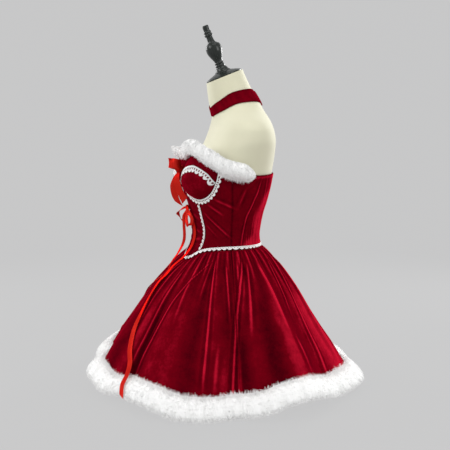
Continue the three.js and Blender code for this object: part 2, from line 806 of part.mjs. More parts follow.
const longTails = {
  right: [
    ...hanging([
      [-1, -101.5, 447.4, 8, 10, 0],
      [-7, -108, 432, 10, 25, 0],
      [-8, -107, 408, 11, 30, 0],
      [-10, -107, 368, 11, 30, 0],
      [-12, -123, 334, 11, 10, 0],
      [-15, -141, 309, 11, 0, 0],
    ]),
    ...lying([
      [-7, 0.13, 6, 11],
      [-15, 0.22, 6, 11],
      [-26, 0.36, 7, 11],
      [-35, 0.52, 7, 11],
      [-40, 0.68, 7, 11],
      [-42, 0.8, 8, 11],
      [-43, 0.87, 24, 11],
      [-43.5, 0.93, 36, 11],
      [-44, 0.99, 36, 11],
    ]),
  ],
  left: [
    ...hanging([
      [4, -96.5, 447.6, 8, -10, 0],
      [17, -95, 437, 9, 5, 0],
      [28, -91.5, 424, 10, 15, 0],
      [33, -88, 408, 11, 20, 0],
      [33, -87, 385, 11, 22, 0],
      [28, -95, 356, 11, 20, 0],
      [21, -114, 329, 11, 15, 0],
      [15, -139, 307, 11, 10, 0],
    ]),
    ...lying([
      [3, 0.12, 6, 11],
      [3, 0.19, 4.5, 11],
      [7, 0.3, 4.5, 11],
      [10.5, 0.42, 4.5, 11],
      [15, 0.56, 4.5, 11],
      [21, 0.7, 5, 11],
      [25, 0.8, 9, 11],
      [28.5, 0.87, 26, 11],
      [31, 0.93, 37, 11],
      [33.8, 1, 37, 11],
    ]),
  ],
};

// The choker: its middle line by angle, on the form's own heights
const CHOKER_LINE = rows(['angle', 'z'], [
  [0, 706],
  [45, 719],
  [90, 731],
  [135, 728],
  [180, 719],
]);
const chokerLine = smooth(CHOKER_LINE, 'angle', 'z');
const CHOKER_HALF = 14.5;
const CHOKER_WALL = 2.2;

// Its one end lies on the neck and its other end stands off it, over the fastening
function choker() {
  const off = (angle) => 0.9 + 5 * easeBetween(166, 179, angle);
  const level = (angle, v) => chokerLine(Math.abs(angle)) + v * CHOKER_HALF;
  const point = (extra) => (angle, v) => formPoint(angle, level(angle, v), off(angle) + extra);
  return wall(steps(-179.7, 178.7, 34), [-1, 0, 1], point(CHOKER_WALL), point(0));
}

// The form: a smooth torso with no limbs, on a plain pole and a round base
const POLE_RADIUS = 12.5;
const BASE_RADIUS = 145;
const BASE_TOP = 14;
const FORM_FOOT = FORM[0].z;
const FORM_HEAD = FORM[FORM.length - 1];
const FORM_SIDES = 28;

function formTorso() {
  const around = steps(0, 360 - 360 / FORM_SIDES, FORM_SIDES - 1);
  const levels = FORM.flatMap(({ z }, i) => (z > 680 && z < 740 ? [z, (z + FORM[i + 1].z) / 2] : [z]));
  const rings = levels.map((z) => around.map((angle) => formSurface(angle, z)));
  return sweep(rings, { cap: fanCap(FORM_SIDES) });
}

// A turned piece, from the distance along its axis and its radius
function turned(profile, sides) {
  const outline = profile.map(([along, radius]) => new THREE.Vector2(radius, along));
  const geometry = new THREE.LatheGeometry(outline, sides);
  geometry.deleteAttribute('normal');
  geometry.deleteAttribute('uv');
  const merged = mergeVertices(geometry.rotateX(Math.PI / 2), 1e-3);
  const points = [];
  for (let i = 0; i < merged.attributes.position.count; i += 1) {
    points.push(new THREE.Vector3().fromBufferAttribute(merged.attributes.position, i));
  }
  const index = Array.from(merged.index.array);
  const triangles = [];
  for (let i = 0; i < index.length; i += 3) triangles.push(index.slice(i, i + 3));
  return solid(points, triangles.filter(([a, b, c]) => a !== b && b !== c && c !== a));
}

const NECK_CAP = [[SEAM, 0], [SEAM, 47.5], [3, 47], [5, 44], [7.5, 37], [10, 29], [12, 24], [12, 0]];
const FINIAL_FOOT = 12 + SEAM;
const FINIAL = [
  [FINIAL_FOOT, 0], [FINIAL_FOOT, 22], [17, 17], [22, 15], [26, 12], [30, 13], [33, 11], [36, 12.5],
  [39, 10.5], [43, 11], [52, 15], [62, 19], [70, 20.5], [78, 20], [84, 18], [87, 14], [90, 10.5],
  [98, 8.5], [106, 8], [108, 10.5], [112, 10.5], [114, 9], [117, 10.5], [119, 9], [121, 8], [135, 8],
  [135, 0],
];
const BASE = [
  [0, 0], [0, BASE_RADIUS], [7, BASE_RADIUS], [10, BASE_RADIUS - 6], [BASE_TOP, 30], [BASE_TOP, 0],
];
const POLE_FOOT = BASE_TOP + SEAM;
const POLE_HEAD = FORM_FOOT - SEAM;
const POLE = [[POLE_FOOT, 0], [POLE_FOOT, POLE_RADIUS], [POLE_HEAD, POLE_RADIUS], [POLE_HEAD, 0]];

// Materials
const finish = (color, roughness) => new THREE.MeshStandardMaterial({ color, roughness });
const VELVET_RED = finish(0x7a0518, 0.9);
const FUR_WHITE = finish(0xf2f2f0, 1);
const LACE_WHITE = finish(0xf0efe8, 0.8);
const SATIN_RED = finish(0xd8201c, 0.35);
const FORM_CREAM = finish(0xe6e2cb, 0.85);
const BLACK_GLOSS = finish(0x151a18, 0.25);

const costume = new THREE.Group();
function add(name, geometry, material, parent = costume) {
  const mesh = new THREE.Mesh(geometry, material);
  mesh.name = name;
  parent.add(mesh);
}

add('form_base', turned(BASE, 32), BLACK_GLOSS);
add('form_pole', turned(POLE, 20), BLACK_GLOSS);
add('form_torso', formTorso(), FORM_CREAM);

const neck = new THREE.Group();
neck.position.set(0, (FORM_HEAD.front + FORM_HEAD.back) / 2, FORM_HEAD.z);
neck.rotation.x = radians(FORM_HEAD.tilt);
costume.add(neck);
add('form_neck_cap', turned(NECK_CAP, 28), BLACK_GLOSS, neck);
add('form_finial', turned(FINIAL, 12), BLACK_GLOSS, neck);

add('bodice_center_front', centreFront(), VELVET_RED);
add('skirt_front', skirtPanel(false), VELVET_RED);
add('skirt_back', skirtPanel(true), VELVET_RED);
add('fur_neckline', neckFur(), FUR_WHITE);
add('fur_hem_front', hemFur(false), FUR_WHITE);
add('fur_hem_back', hemFur(true), FUR_WHITE);
add('lace_waist', waistLace(), LACE_WHITE);
add('bow_upper', upperBow(), SATIN_RED);
add('bow_lower', lowerBow(), SATIN_RED);
add('choker', choker(), VELVET_RED);

for (const [name, side] of [['left', 1], ['right', -1]]) {
  add(`bodice_upper_cup_${name}`, upperCup(side), VELVET_RED);
  add(`bodice_lower_cup_${name}`, lowerCup(side), VELVET_RED);
  add(`bodice_side_${name}`, sideFront(side), VELVET_RED);
  add(`bodice_back_${name}`, backPanel(side), VELVET_RED);
  add(`lace_cup_top_${name}`, cupTopLace(side), LACE_WHITE);
  add(`lace_cup_under_${name}`, cupUnderLace(side), LACE_WHITE);
  add(`lace_princess_${name}`, princessLace(side), LACE_WHITE);
  add(`bow_upper_tail_${name}`, ribbon(hanging(upperTails[name]), 10), SATIN_RED);
  add(`ribbon_tail_${name}`, ribbon(longTails[name], 44), SATIN_RED);
}

export default costume;
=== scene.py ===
import math

import bpy
import numpy as np
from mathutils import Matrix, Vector


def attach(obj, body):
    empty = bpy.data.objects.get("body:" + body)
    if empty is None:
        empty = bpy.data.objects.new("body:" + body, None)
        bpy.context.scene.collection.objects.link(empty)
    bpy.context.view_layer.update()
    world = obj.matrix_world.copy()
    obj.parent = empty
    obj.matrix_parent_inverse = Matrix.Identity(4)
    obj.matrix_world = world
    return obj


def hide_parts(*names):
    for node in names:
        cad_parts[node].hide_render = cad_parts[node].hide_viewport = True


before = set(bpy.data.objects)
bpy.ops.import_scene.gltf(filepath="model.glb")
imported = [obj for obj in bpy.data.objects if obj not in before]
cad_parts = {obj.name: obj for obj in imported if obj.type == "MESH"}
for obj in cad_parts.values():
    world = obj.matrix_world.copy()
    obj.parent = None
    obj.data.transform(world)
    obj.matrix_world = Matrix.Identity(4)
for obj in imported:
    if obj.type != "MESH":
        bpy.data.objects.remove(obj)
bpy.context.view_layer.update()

# The torso of the dress form: papier-mache under a taut cream jersey cover, smooth, with no limbs.
# Its shape is a stack of level sections, rounder than an ellipse is, that tilt forward at the neck.
# Sizes here and below are in millimetres, +X to the wearer's left, -Y to the front, +Z up.
FORM_SECTIONS = [  # height, half width, front, back, tilt in degrees
    (150, 156, -104, 112, 0),
    (205, 162, -108, 118, 0),
    (255, 153, -106, 114, 0),
    (300, 128, -98, 101, 0),
    (330, 118, -89, 91, 0),
    (360, 114, -84, 85, 0),
    (385, 115.4, -81.9, 83.4, 0),
    (420, 114, -82, 84, 0),
    (450, 118, -87, 92, 0),
    (485, 126, -92, 102, 0),
    (520, 133, -94, 111, 0),
    (555, 140, -86, 117, 0),
    (590, 148, -68, 121, 0),
    (620, 154, -49, 122, 0),
    (645, 152, -38, 118, 0),
    (665, 140, -32, 112, 1),
    (682, 113, -30, 105, 3),
    (698, 86, -31, 96, 6),
    (714, 69, -35, 87, 10),
    (736, 58, -40, 71, 15),
    (762, 52.5, -44, 56, 19),
    (788, 48.5, -47, 44, 22),
]
ROUNDNESS = 2 / 2.25
CREAM = (0.72, 0.70, 0.53, 1)
CREAM_SHADE = (0.63, 0.61, 0.44, 1)


def smooth(table, column=1):
    """A monotone cubic through a table's first column and another one."""
    x, y = np.array(table, float)[:, [0, column]].T
    width = np.diff(x)
    slope = np.diff(y) / width
    tangent = np.concatenate([slope[:1], np.zeros(len(x) - 2), slope[-1:]])
    for i in range(1, len(x) - 1):
        if slope[i - 1] * slope[i] > 0:
            before = 2 * width[i] + width[i - 1]
            after = width[i] + 2 * width[i - 1]
            tangent[i] = (before + after) / (before / slope[i - 1] + after / slope[i])

    def value(at):
        at = np.clip(at, x[0], x[-1])
        i = np.clip(np.searchsorted(x, at, side="right") - 1, 0, len(x) - 2)
        s = (at - x[i]) / width[i]
        return (y[i] * (1 + 2 * s) * (1 - s) ** 2 + tangent[i] * width[i] * s * (1 - s) ** 2
                + y[i + 1] * s * s * (3 - 2 * s) + tangent[i + 1] * width[i] * s * s * (s - 1))

    return value


def ease(low, high, value):
    """From 0 at low to 1 at high, with soft ends."""
    s = np.clip((value - low) / (high - low), 0, 1)
    return s * s * (3 - 2 * s)


def hump(distance, width=1.0):
    """1 at the middle of a ridge, falling off beside it."""
    return np.exp(-(distance / width) ** 2)


def sine(degrees):
    return np.sin(np.radians(degrees))


def cosine(degrees):
    return np.cos(np.radians(degrees))


def unit(vectors):
    return vectors / np.linalg.norm(vectors, axis=-1, keepdims=True)


def section_point(angle, half, front, back, z, tilt=0.0):
    """A point of a level section, by its angle from the centre front in degrees."""
    s, c = sine(angle), cosine(angle)
    rise = -(back - front) / 2 * np.sign(c) * np.abs(c) ** ROUNDNESS
    x = half * np.sign(s) * np.abs(s) ** ROUNDNESS
    parts = np.broadcast_arrays(x, (front + back) / 2 + rise, z + rise * np.tan(np.radians(tilt)))
    return np.stack(parts, -1)


def offset_point(surface, angle, z, out):
    """A point of a surface, moved out along its normal."""
    turn, lift = 0.06, 1.0
    across = surface(angle + turn, z) - surface(angle - turn, z)
    up = surface(angle, z + lift) - surface(angle, z - lift)
    return surface(angle, z) + unit(np.cross(across, up)) * np.asarray(out, float)[..., None]


form_half, form_front, form_back, form_tilt = (smooth(FORM_SECTIONS, k) for k in range(1, 5))


def form_surface(angle, z):
    return section_point(angle, form_half(z), form_front(z), form_back(z), z, form_tilt(z))


def make_mesh(name, points, quads, triangles=(), sharp=50):
    """A smooth-shaded mesh from points in millimetres, its closed body turned to face out."""
    points = np.asarray(points, float).reshape(-1, 3) / 1000
    faces = [np.asarray(f, int).reshape(-1, n) for f, n in ((quads, 4), (triangles, 3)) if len(f)]
    volume = sum(np.einsum("ij,ij->", points[f[:, 0]], np.cross(points[f[:, k]], points[f[:, k + 1]]))
                 for f in faces for k in range(1, f.shape[1] - 1))
    if volume < 0:
        faces = [f[:, ::-1] for f in faces]
    mesh = bpy.data.meshes.new(name)
    mesh.from_pydata(points.tolist(), [], [face for f in faces for face in f.tolist()])
    mesh.shade_smooth()
    mesh.validate()
    mesh.set_sharp_from_angle(angle=math.radians(sharp))
    return mesh


def grid_quads(columns, rows, around=False):
    """Quads over points numbered column by column."""
    i = np.arange(columns if around else columns - 1)[:, None]
    j = np.arange(rows - 1)[None, :]
    here, beside = i * rows + j, (i + 1) % columns * rows + j
    return np.stack([here, beside, beside + 1, here + 1], -1).reshape(-1, 4)


def tube_quads(count, size):
    """Quads over rings of points that each close on themselves."""
    i = np.arange(count - 1) * size
    seam = np.stack([i + size - 1, i + 2 * size - 1, i + size, i], -1)
    return np.concatenate([grid_quads(count, size), seam])


def loft(name, rings, **shading):
    """A closed body through rings of points, with a flat fan over each end."""
    count, size = rings.shape[:2]
    points = np.concatenate([rings.reshape(-1, 3), rings[[0, -1]].mean(1)])
    k = np.arange(size)
    first = np.stack([k, (k + 1) % size, np.full(size, count * size)], -1)
    last = np.stack([(k + 1) % size, k, np.full(size, size + 1)], -1) + (count - 1) * size
    return make_mesh(name, points, tube_quads(count, size), np.concatenate([first, last]), **shading)


class Wire:
    """A shader socket inside a Python sum; any node but Math comes from node()."""

    def __init__(self, tree, socket):
        self.tree, self.socket = tree, socket

    def node(self, kind, settings=None, inputs=None, output=0):
        made = self.tree.nodes.new("ShaderNode" + kind)
        for name, value in (settings or {}).items():
            setattr(made, name, value)
        for key, value in (inputs or {}).items():
            if isinstance(value, Wire):
                self.tree.links.new(value.socket, made.inputs[key])
            else:
                made.inputs[key].default_value = value
        return Wire(self.tree, made.outputs[output])

    def math(self, operation, first, second=0.0, clamp=False):
        return self.node("Math", {"operation": operation, "use_clamp": clamp}, {0: first, 1: second})

    def __add__(self, other):
        return self.math("ADD", self, other)

    def __sub__(self, other):
        return self.math("SUBTRACT", self, other)

    def __rsub__(self, other):
        return self.math("SUBTRACT", other, self)

    def __mul__(self, other):
        return self.math("MULTIPLY", self, other)

    def __pow__(self, other):
        return self.math("POWER", self, other)

    __radd__, __rmul__ = __add__, __mul__

    def clamped(self):
        return self.math("ADD", self, 0.0, clamp=True)

    def blend(self, low, high):
        """From one colour to another as this value goes from 0 to 1."""
        return self.node("Mix", {"data_type": "RGBA"}, {0: self, 6: low, 7: high}, output=2)

    def noise(self, scale, detail=2.0, roughness=0.5):
        inputs = {"Vector": self, "Scale": scale, "Detail": detail, "Roughness": roughness}
        return self.node("TexNoise", None, inputs)

    def attribute(self, name):
        return self.node("Attribute", {"attribute_name": name}, output=2)


def new_finish(name, roughness, **fixed):
    """A material, a function that feeds its shader's sockets, and its place in metres."""
    material = bpy.data.materials.new(name)
    material.use_nodes = True
    tree = material.node_tree
    shader = tree.nodes["Principled BSDF"]
    shader.inputs["Roughness"].default_value = roughness
    for words, value in fixed.items():
        shader.inputs[words.replace("_", " ").title().replace("Ior", "IOR")].default_value = value

    def feed(socket, wire):
        tree.links.new(wire.socket, shader.inputs[socket])

    start = Wire(tree, None)
    return material, feed, start.node("TexCoord", output=3)


def bumped(height, strength, distance):
    return height.node("Bump", None, {"Height": height, "Strength": strength, "Distance": distance})


def linked(name, data):
    """A new object in the scene."""
    made = bpy.data.objects.new(name, data)
    bpy.context.collection.objects.link(made)
    return made


def add_piece(mesh, material, node):
    made = linked(mesh.name, mesh)
    mesh.materials.append(material)
    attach(made, "root")
    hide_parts(node)
    return made


def add_cloth(mesh, material, slot, node, flat, held="stretched", **area):
    made = add_piece(mesh, material, node)


def jersey_finish():
    material, feed, place = new_finish("cream_jersey", 0.82, sheen_weight=0.25, sheen_roughness=0.5)
    feed("Base Color", place.noise(9.0, 3.0).blend(CREAM_SHADE, CREAM))
    knit = place.node("TexVoronoi", {"feature": "F1"}, {"Vector": place, "Scale": 900.0})
    feed("Normal", bumped(knit + place.noise(60.0) * 0.6, 0.12, 0.0006))
    return material


torso_heights = np.linspace(FORM_SECTIONS[0][0], FORM_SECTIONS[-1][0], 120)
torso_angles = np.arange(0, 360, 4.0)
torso_rings = form_surface(torso_angles[None, :], torso_heights[:, None])
torso = add_piece(loft("form_torso_cover", torso_rings), jersey_finish(), "form_torso")

# The turned neck piece: a lacquered hardwood disc over the neck, and a finial with a vase and beads.
# Both are turned round one axis, which leans forward with the top of the neck.
NECK_DISC = [  # distance along the axis, radius
    (0.3, 46.5), (1, 47.4), (2.6, 47.4), (3.6, 46.6), (4.4, 44.4), (6, 41), (8, 36), (10, 29.5), (12, 24)]
FINIAL = [
    (12.3, 22), (14, 20.5), (17, 17), (22, 15), (26, 12), (28, 12.4), (30, 13), (33, 11), (36, 12.5),
    (39, 10.5), (43, 11), (47, 12.6), (52, 15), (57, 17.2), (62, 19), (66, 20.1), (70, 20.5), (74, 20.4),
    (78, 20), (81, 19.2), (84, 18), (86, 15), (87, 14), (90, 10.5), (94, 9.1), (98, 8.5), (103, 8.1),
    (106, 8), (107, 9.6), (108, 10.5), (110, 10.9), (112, 10.5), (114, 9), (115.5, 10.2), (117, 10.5),
    (119, 9), (121, 8), (128, 8.2), (133, 8), (135, 7)]
POLE_RADIUS = 12.5
STAND_BASE = [(0, 144), (1, 145), (7, 145), (9, 143), (10, 139), (11, 128), (13, 60), (14, 30)]
POLE = [(14.3, POLE_RADIUS), (16, POLE_RADIUS), (148, POLE_RADIUS), (149.7, POLE_RADIUS)]
LACQUER = (0.012, 0.016, 0.014, 1)
LACQUER_WORN = (0.03, 0.033, 0.03, 1)


def lacquer_finish():
    material, feed, place = new_finish("black_lacquer", 0.3, coat_weight=0.12, coat_roughness=0.2,
                                       specular_ior_level=0.3)
    feed("Base Color", (place.noise(120.0, 3.0) ** 3.0).blend(LACQUER, LACQUER_WORN))
    feed("Roughness", place.noise(45.0) * 0.22 + 0.2)
    feed("Normal", bumped(place.noise(260.0, 3.0), 0.08, 0.0004))
    return material


def turned(name, profile, samples, sides, top_of_neck=False, sharp=35):
    """A piece turned on a lathe, upright or along the top of the neck's axis."""
    along = np.linspace(profile[0][0], profile[-1][0], samples)
    along = np.unique(np.concatenate([along, [row[0] for row in profile]]))
    radius = smooth(profile)(along)[:, None]
    angle = np.arange(0, 360, 360 / sides)[None, :]
    rings = np.stack(np.broadcast_arrays(radius * cosine(angle), radius * sine(angle), along[:, None]), -1)
    if top_of_neck:
        height, _, front, back, tilt = FORM_SECTIONS[-1]
        s, c = sine(tilt), cosine(tilt)
        x, y, z = np.moveaxis(rings, -1, 0)
        rings = np.stack([x, c * y - s * z + (front + back) / 2, s * y + c * z + height], -1)
    return loft(name, rings, sharp=sharp)


lacquer = lacquer_finish()
add_piece(turned("neck_disc", NECK_DISC, 20, 72, True), lacquer, "form_neck_cap")
add_piece(turned("turned_finial", FINIAL, 110, 48, True, 60), lacquer, "form_finial")
add_piece(turned("stand_pole", POLE, 8, 48), lacquer, "form_pole")
add_piece(turned("stand_base", STAND_BASE, 16, 96), lacquer, "form_base")

# The bodice: nine panels of crushed velvet over light boning, sewn edge to edge, with two moulded cups.
# The centre front runs between the princess seams and up between the cups; each cup is cut in two.
# The seams are pressed, so every panel rolls in a little at its edges.
BODICE_SECTIONS = [  # height, half width, front, back
    (290, 138, -120, 114),
    (305, 134, -114, 110),
    (320, 129, -106, 104),
    (340, 123, -97, 95),
    (360, 119, -89, 89),
    (385, 117.5, -84, 85.5),
    (410, 118.5, -85, 88),
    (440, 123, -89, 94),
    (465, 128, -95, 102),
    (490, 133, -104, 109),
    (520, 139, -111, 116.5),
    (550, 145, -107, 122),
    (580, 151, -95, 127),
    (615, 156, -78, 129),
]
TOP_EDGE = [(0, 590), (12, 593), (25, 591), (38, 585), (50, 573), (62, 562), (75, 551), (88, 545), (100, 541),
            (115, 539), (135, 541), (160, 543), (180, 543)]  # angle from the centre front, height
WAIST_EDGE = [(0, 318), (15, 326), (31, 341), (45, 349), (60, 353), (84, 356), (120, 357), (180, 358)]
PRINCESS_LINE = [(300, 26), (343, 29.5), (365, 34), (400, 37), (435, 33), (480, 30)]  # height, angle
CUP_ANGLE, CUP_HEIGHT, CUP_ARC, CUP_DEPTH = 34, 534, 122, 26
CUP_OUTER, CUP_INNER, CUP_BELOW, CUP_ABOVE = 65, 62, 54, 130
CUP_SEAM = [(-62, -15), (-54, -5), (-44, 5), (-32, 13), (-18, 19), (-4, 23), (10, 25), (26, 21), (44, 11),
            (57, -3), (65, -12)]  # across from the cup's middle, up from it
CUP_FOOT, CUP_POINT, POINT_CUT = -13, -20, 2.6  # where the seam's ends come, and what is cut off the points
SIDE_SEAM, PRINCESS_TOP_TURN = 84, -8
VELVET = 1.6
LAP = 0.15  # how far each panel runs past its seam
SEAM_ROLL, SEAM_WIDTH, PUCKER, PUCKER_REACH = 0.9, 2.2, 0.28, 6
MM_A_DEGREE, RIGHT_SHIFT = 2.2, 2.5  # for the creases, which lie a little otherwise at the wearer's right
UNDER_LACE = (5, 13)  # how far from a laced edge a crease begins, and is whole
CUP_NAP, PANEL_NAP, INSIDE_NAP = 0.5, 0.38, 0.3
# Drag creases: from angle and height to angle and height, width, and height of the ridge
CREASES = [
    (57, 483, 91, 455, 3.2, 1.2),
    (46, 469, 73, 439, 2.8, 1.3),
    (37, 448, 90, 376, 2.4, 1.6),
    (40, 417, 63, 386, 2.0, 1.0),
    (119, 546, 95, 500, 3.2, 1.2),
    (99, 512, 89, 456, 3.2, 1.1),
    (121, 556, 114, 478, 2.2, 1.6),
    (117, 505, 100, 422, 2.2, 1.9),
    (104, 450, 95, 345, 2.2, 1.8),
    (129, 552, 135, 455, 3.0, 1.3),
    (118, 452, 115, 352, 2.2, 1.0),
    (107, 412, 105, 350, 1.6, 0.9),
    (112, 408, 110, 350, 1.6, 0.9),
    (124, 416, 122, 350, 2.0, 1.0),
    (134, 440, 130, 350, 2.4, 1.2),
    (150, 540, 142, 372, 3.4, 1.4),
    (164, 536, 161, 366, 3.2, 1.5),
    (172, 470, 171, 364, 3.0, 1.2),
    (8, 440, 30, 425, 4.0, 0.9),
    (6, 402, 33, 394, 3.5, 1.0),
    (5, 372, 30, 380, 3.5, 0.9),
]
# Velvet colours: painted shade in folds and seams, the cloth's own red, and a painted highlight on ridges and
# lit sides.
VELVET_PAINTED_SHADE = (0.045, 0.0, 0.003, 1)
VELVET_RED = (0.16, 0.0005, 0.006, 1)
VELVET_LIT = (0.54, 0.008, 0.030, 1)
# Height, angle: past this angle, towards the back, the velvet is painted lighter, a painted sheen where it
# turns away.
PAINTED_BACK_SHEEN = [(350, 90), (372, 97), (392, 113), (430, 114), (475, 124), (490, 129), (505, 138), (545, 140)]

body_half, body_front, body_back = (smooth(BODICE_SECTIONS, k) for k in range(1, 4))
top_edge, waist_edge, cup_seam = smooth(TOP_EDGE), smooth(WAIST_EDGE), smooth(CUP_SEAM)
princess, painted_back_sheen = smooth(PRINCESS_LINE), smooth(PAINTED_BACK_SHEEN)


def body_surface(angle, z):
    return section_point(angle, body_half(z), body_front(z), body_back(z), z)


def cup_height(angle, z):
    across = np.radians(np.abs(angle) - CUP_ANGLE) * CUP_ARC
    up = z - CUP_HEIGHT
    reach = np.where(across < 0, CUP_INNER, CUP_OUTER)
    level = np.where(up < 0, CUP_BELOW, CUP_ABOVE)
    inside = np.maximum(0, 1 - (across / reach) ** 2 - (up / level) ** 2)
    return CUP_DEPTH * inside ** (0.75 + 0.75 * ease(-25, 45, up))


def bodice_point(angle, z, out):
    return offset_point(body_surface, angle, z, out + cup_height(angle, z))


def crease_height(angle, z, side):
    """Soft ridges along the drag lines of the stretched velvet."""
    angle = np.abs(angle)
    total = np.zeros(np.broadcast(angle, z).shape)
    for a1, z1, a2, z2, width, height in CREASES:
        shift = RIGHT_SHIFT if side < 0 else 0.0
        dx, dz = (a2 - a1) * MM_A_DEGREE, z2 - z1
        px, pz = (angle - a1 - shift) * MM_A_DEGREE, z - z1 + 2 * shift
        along = (px * dx + pz * dz) / (dx * dx + dz * dz)
        away = np.abs(px * dz - pz * dx) / math.hypot(dx, dz)
        ridge = hump(away, width) * ease(-0.06, 0.22, along) * (1 - ease(0.6, 1.08, along))
        trough = hump(away - 2.1 * width, width) * ease(0, 0.3, along) * (1 - ease(0.6, 1, along))
        total += height * (ridge - 0.5 * trough)
    return total


def cup_place(across, up):
    """A place on a cup, across from and above its middle, as an angle and a height."""
    across, up = np.broadcast_arrays(np.asarray(across, float), np.asarray(up, float))
    return np.stack([CUP_ANGLE + np.degrees(across / CUP_ARC), CUP_HEIGHT + up], -1)


def cup_edge(turn, beyond=0.0):
    """The edge of a cup: turn is 0 at its lowest point, 90 at the outer side, -90 at the inner side."""
    s, c = sine(turn), cosine(turn)
    reach = np.where(np.asarray(turn) < 0, CUP_INNER, CUP_OUTER)
    level = np.where(c > 0, CUP_BELOW, CUP_ABOVE)
    nx, ny = s / reach, -c / level
    length = np.hypot(nx, ny)
    return cup_place(reach * s + nx / length * beyond, -level * c + ny / length * beyond)


def cup_side(side, low, high, count, beyond):
    up = np.linspace(low, high, count)
    turn = np.degrees(np.arccos(np.clip(np.abs(up) / np.where(up < 0, CUP_BELOW, CUP_ABOVE), 0, 1)))
    return cup_edge(side * np.where(up < 0, turn, 180 - turn), beyond)


def top_crossing(side):
    """How far above a cup's middle its edge meets the top of the bodice."""
    up = np.linspace(20, 90, 1400)
    reach = (CUP_INNER if side < 0 else CUP_OUTER) * np.sqrt(1 - (up / CUP_ABOVE) ** 2)
    angle, z = cup_place(side * reach, up).T
    return up[np.argmin(np.abs(z - top(angle)))]


def resampled(line, count):
    """A line of places with count even steps along it."""
    step = np.hypot(2 * np.diff(line[:, 0]), np.diff(line[:, 1]))
    share = np.concatenate([[0], np.cumsum(step)]) / step.sum()
    return np.stack([np.interp(np.linspace(0, 1, count), share, line[:, k]) for k in (0, 1)], -1)


def fill_edges(left, right, bottom, upper):
    """Places inside four edges that meet at the corners: columns across, rows up."""
    v, u = np.linspace(0, 1, len(left)), np.linspace(0, 1, len(bottom))
    u, v = u[:, None, None], v[None, :, None]
    corners = ((1 - u) * (1 - v) * bottom[0] + u * (1 - v) * bottom[-1]
               + (1 - u) * v * left[-1] + u * v * right[-1])
    return (1 - u) * left[None] + u * right[None] + (1 - v) * bottom[:, None] + v * upper[:, None] - corners


def cloth_mesh(name, outer, inner, quads=None, **shading):
    """A thin closed body: an outer sheet, an inner one, and a rim along every open edge."""
    if quads is None:
        quads = grid_quads(*outer.shape[:2])
    size = outer.size // 3
    edges = np.stack([quads, np.roll(quads, -1, axis=1)], -1).reshape(-1, 2)
    _, first, uses = np.unique(np.sort(edges, 1) @ [size, 1], return_index=True, return_counts=True)
    start, end = edges[first[uses == 1]].T
    rim = np.stack([end, start, start + size, end + size], -1)
    points = np.concatenate([outer.reshape(-1, 3), inner.reshape(-1, 3)])
    return make_mesh(name, points, np.concatenate([quads, quads[:, ::-1] + size, rim]), **shading)


def add_tone(mesh, name, *values):
    """A tone for each point of a mesh, for its finish to read."""
    tone = np.concatenate([np.ravel(value) for value in values]).astype(np.float32)
    mesh.attributes.new(name, "FLOAT", "POINT").data.foreach_set("value", tone)


def velvet_finish():
    material, feed, place = new_finish(
        "crushed_velvet", 0.7, sheen_weight=0.4, sheen_roughness=0.3, sheen_tint=(1.0, 0.01, 0.06, 1),
        specular_ior_level=0.0)
    # The tone read here is the nap's own lightness with painted highlight and shade; the crush and grain noise
    # vary it at random.
    nap_and_painted_light = place.attribute("nap_and_painted_light")
    crush = place.noise(30.0, 4.0, 0.62)
    grain = place.noise(170.0, 3.0, 0.6)
    tone = (nap_and_painted_light + (crush - 0.5) * 0.52 + (grain - 0.5) * 0.3).clamped()
    dark = (tone * 2.0).clamped().blend(VELVET_PAINTED_SHADE, VELVET_RED)
    feed("Base Color", (tone * 2.0 - 1.0).clamped().blend(dark, VELVET_LIT))
    feed("Roughness", crush * 0.25 + 0.55)
    pile = place.noise(2400.0, 2.0)
    feed("Normal", bumped(pile * 0.5 + grain * 0.5 + crush * 0.6, 0.35, 0.0008))
    return material


velvet = velvet_finish()


def velvet_piece(name, node, outer, inner, tone, flat, held="stretched", **area):
    """A piece of velvet: tone is how light it is painted, point by point: its nap, with painted highlight and
    shade.
    """
    mesh = cloth_mesh(name, outer, inner)
    add_tone(mesh, "nap_and_painted_light", tone, np.full(tone.size, INSIDE_NAP))
    add_cloth(mesh, velvet, "red_velvet", node, flat, held, **area)


def distance_along(surface, axis):
    """How far each point of a grid is from the grid's first edge, in even steps."""
    length = np.linalg.norm(np.diff(surface, axis=axis), axis=-1).sum(axis, keepdims=True)
    return length * np.expand_dims(np.linspace(0, 1, surface.shape[axis]), 1 - axis)


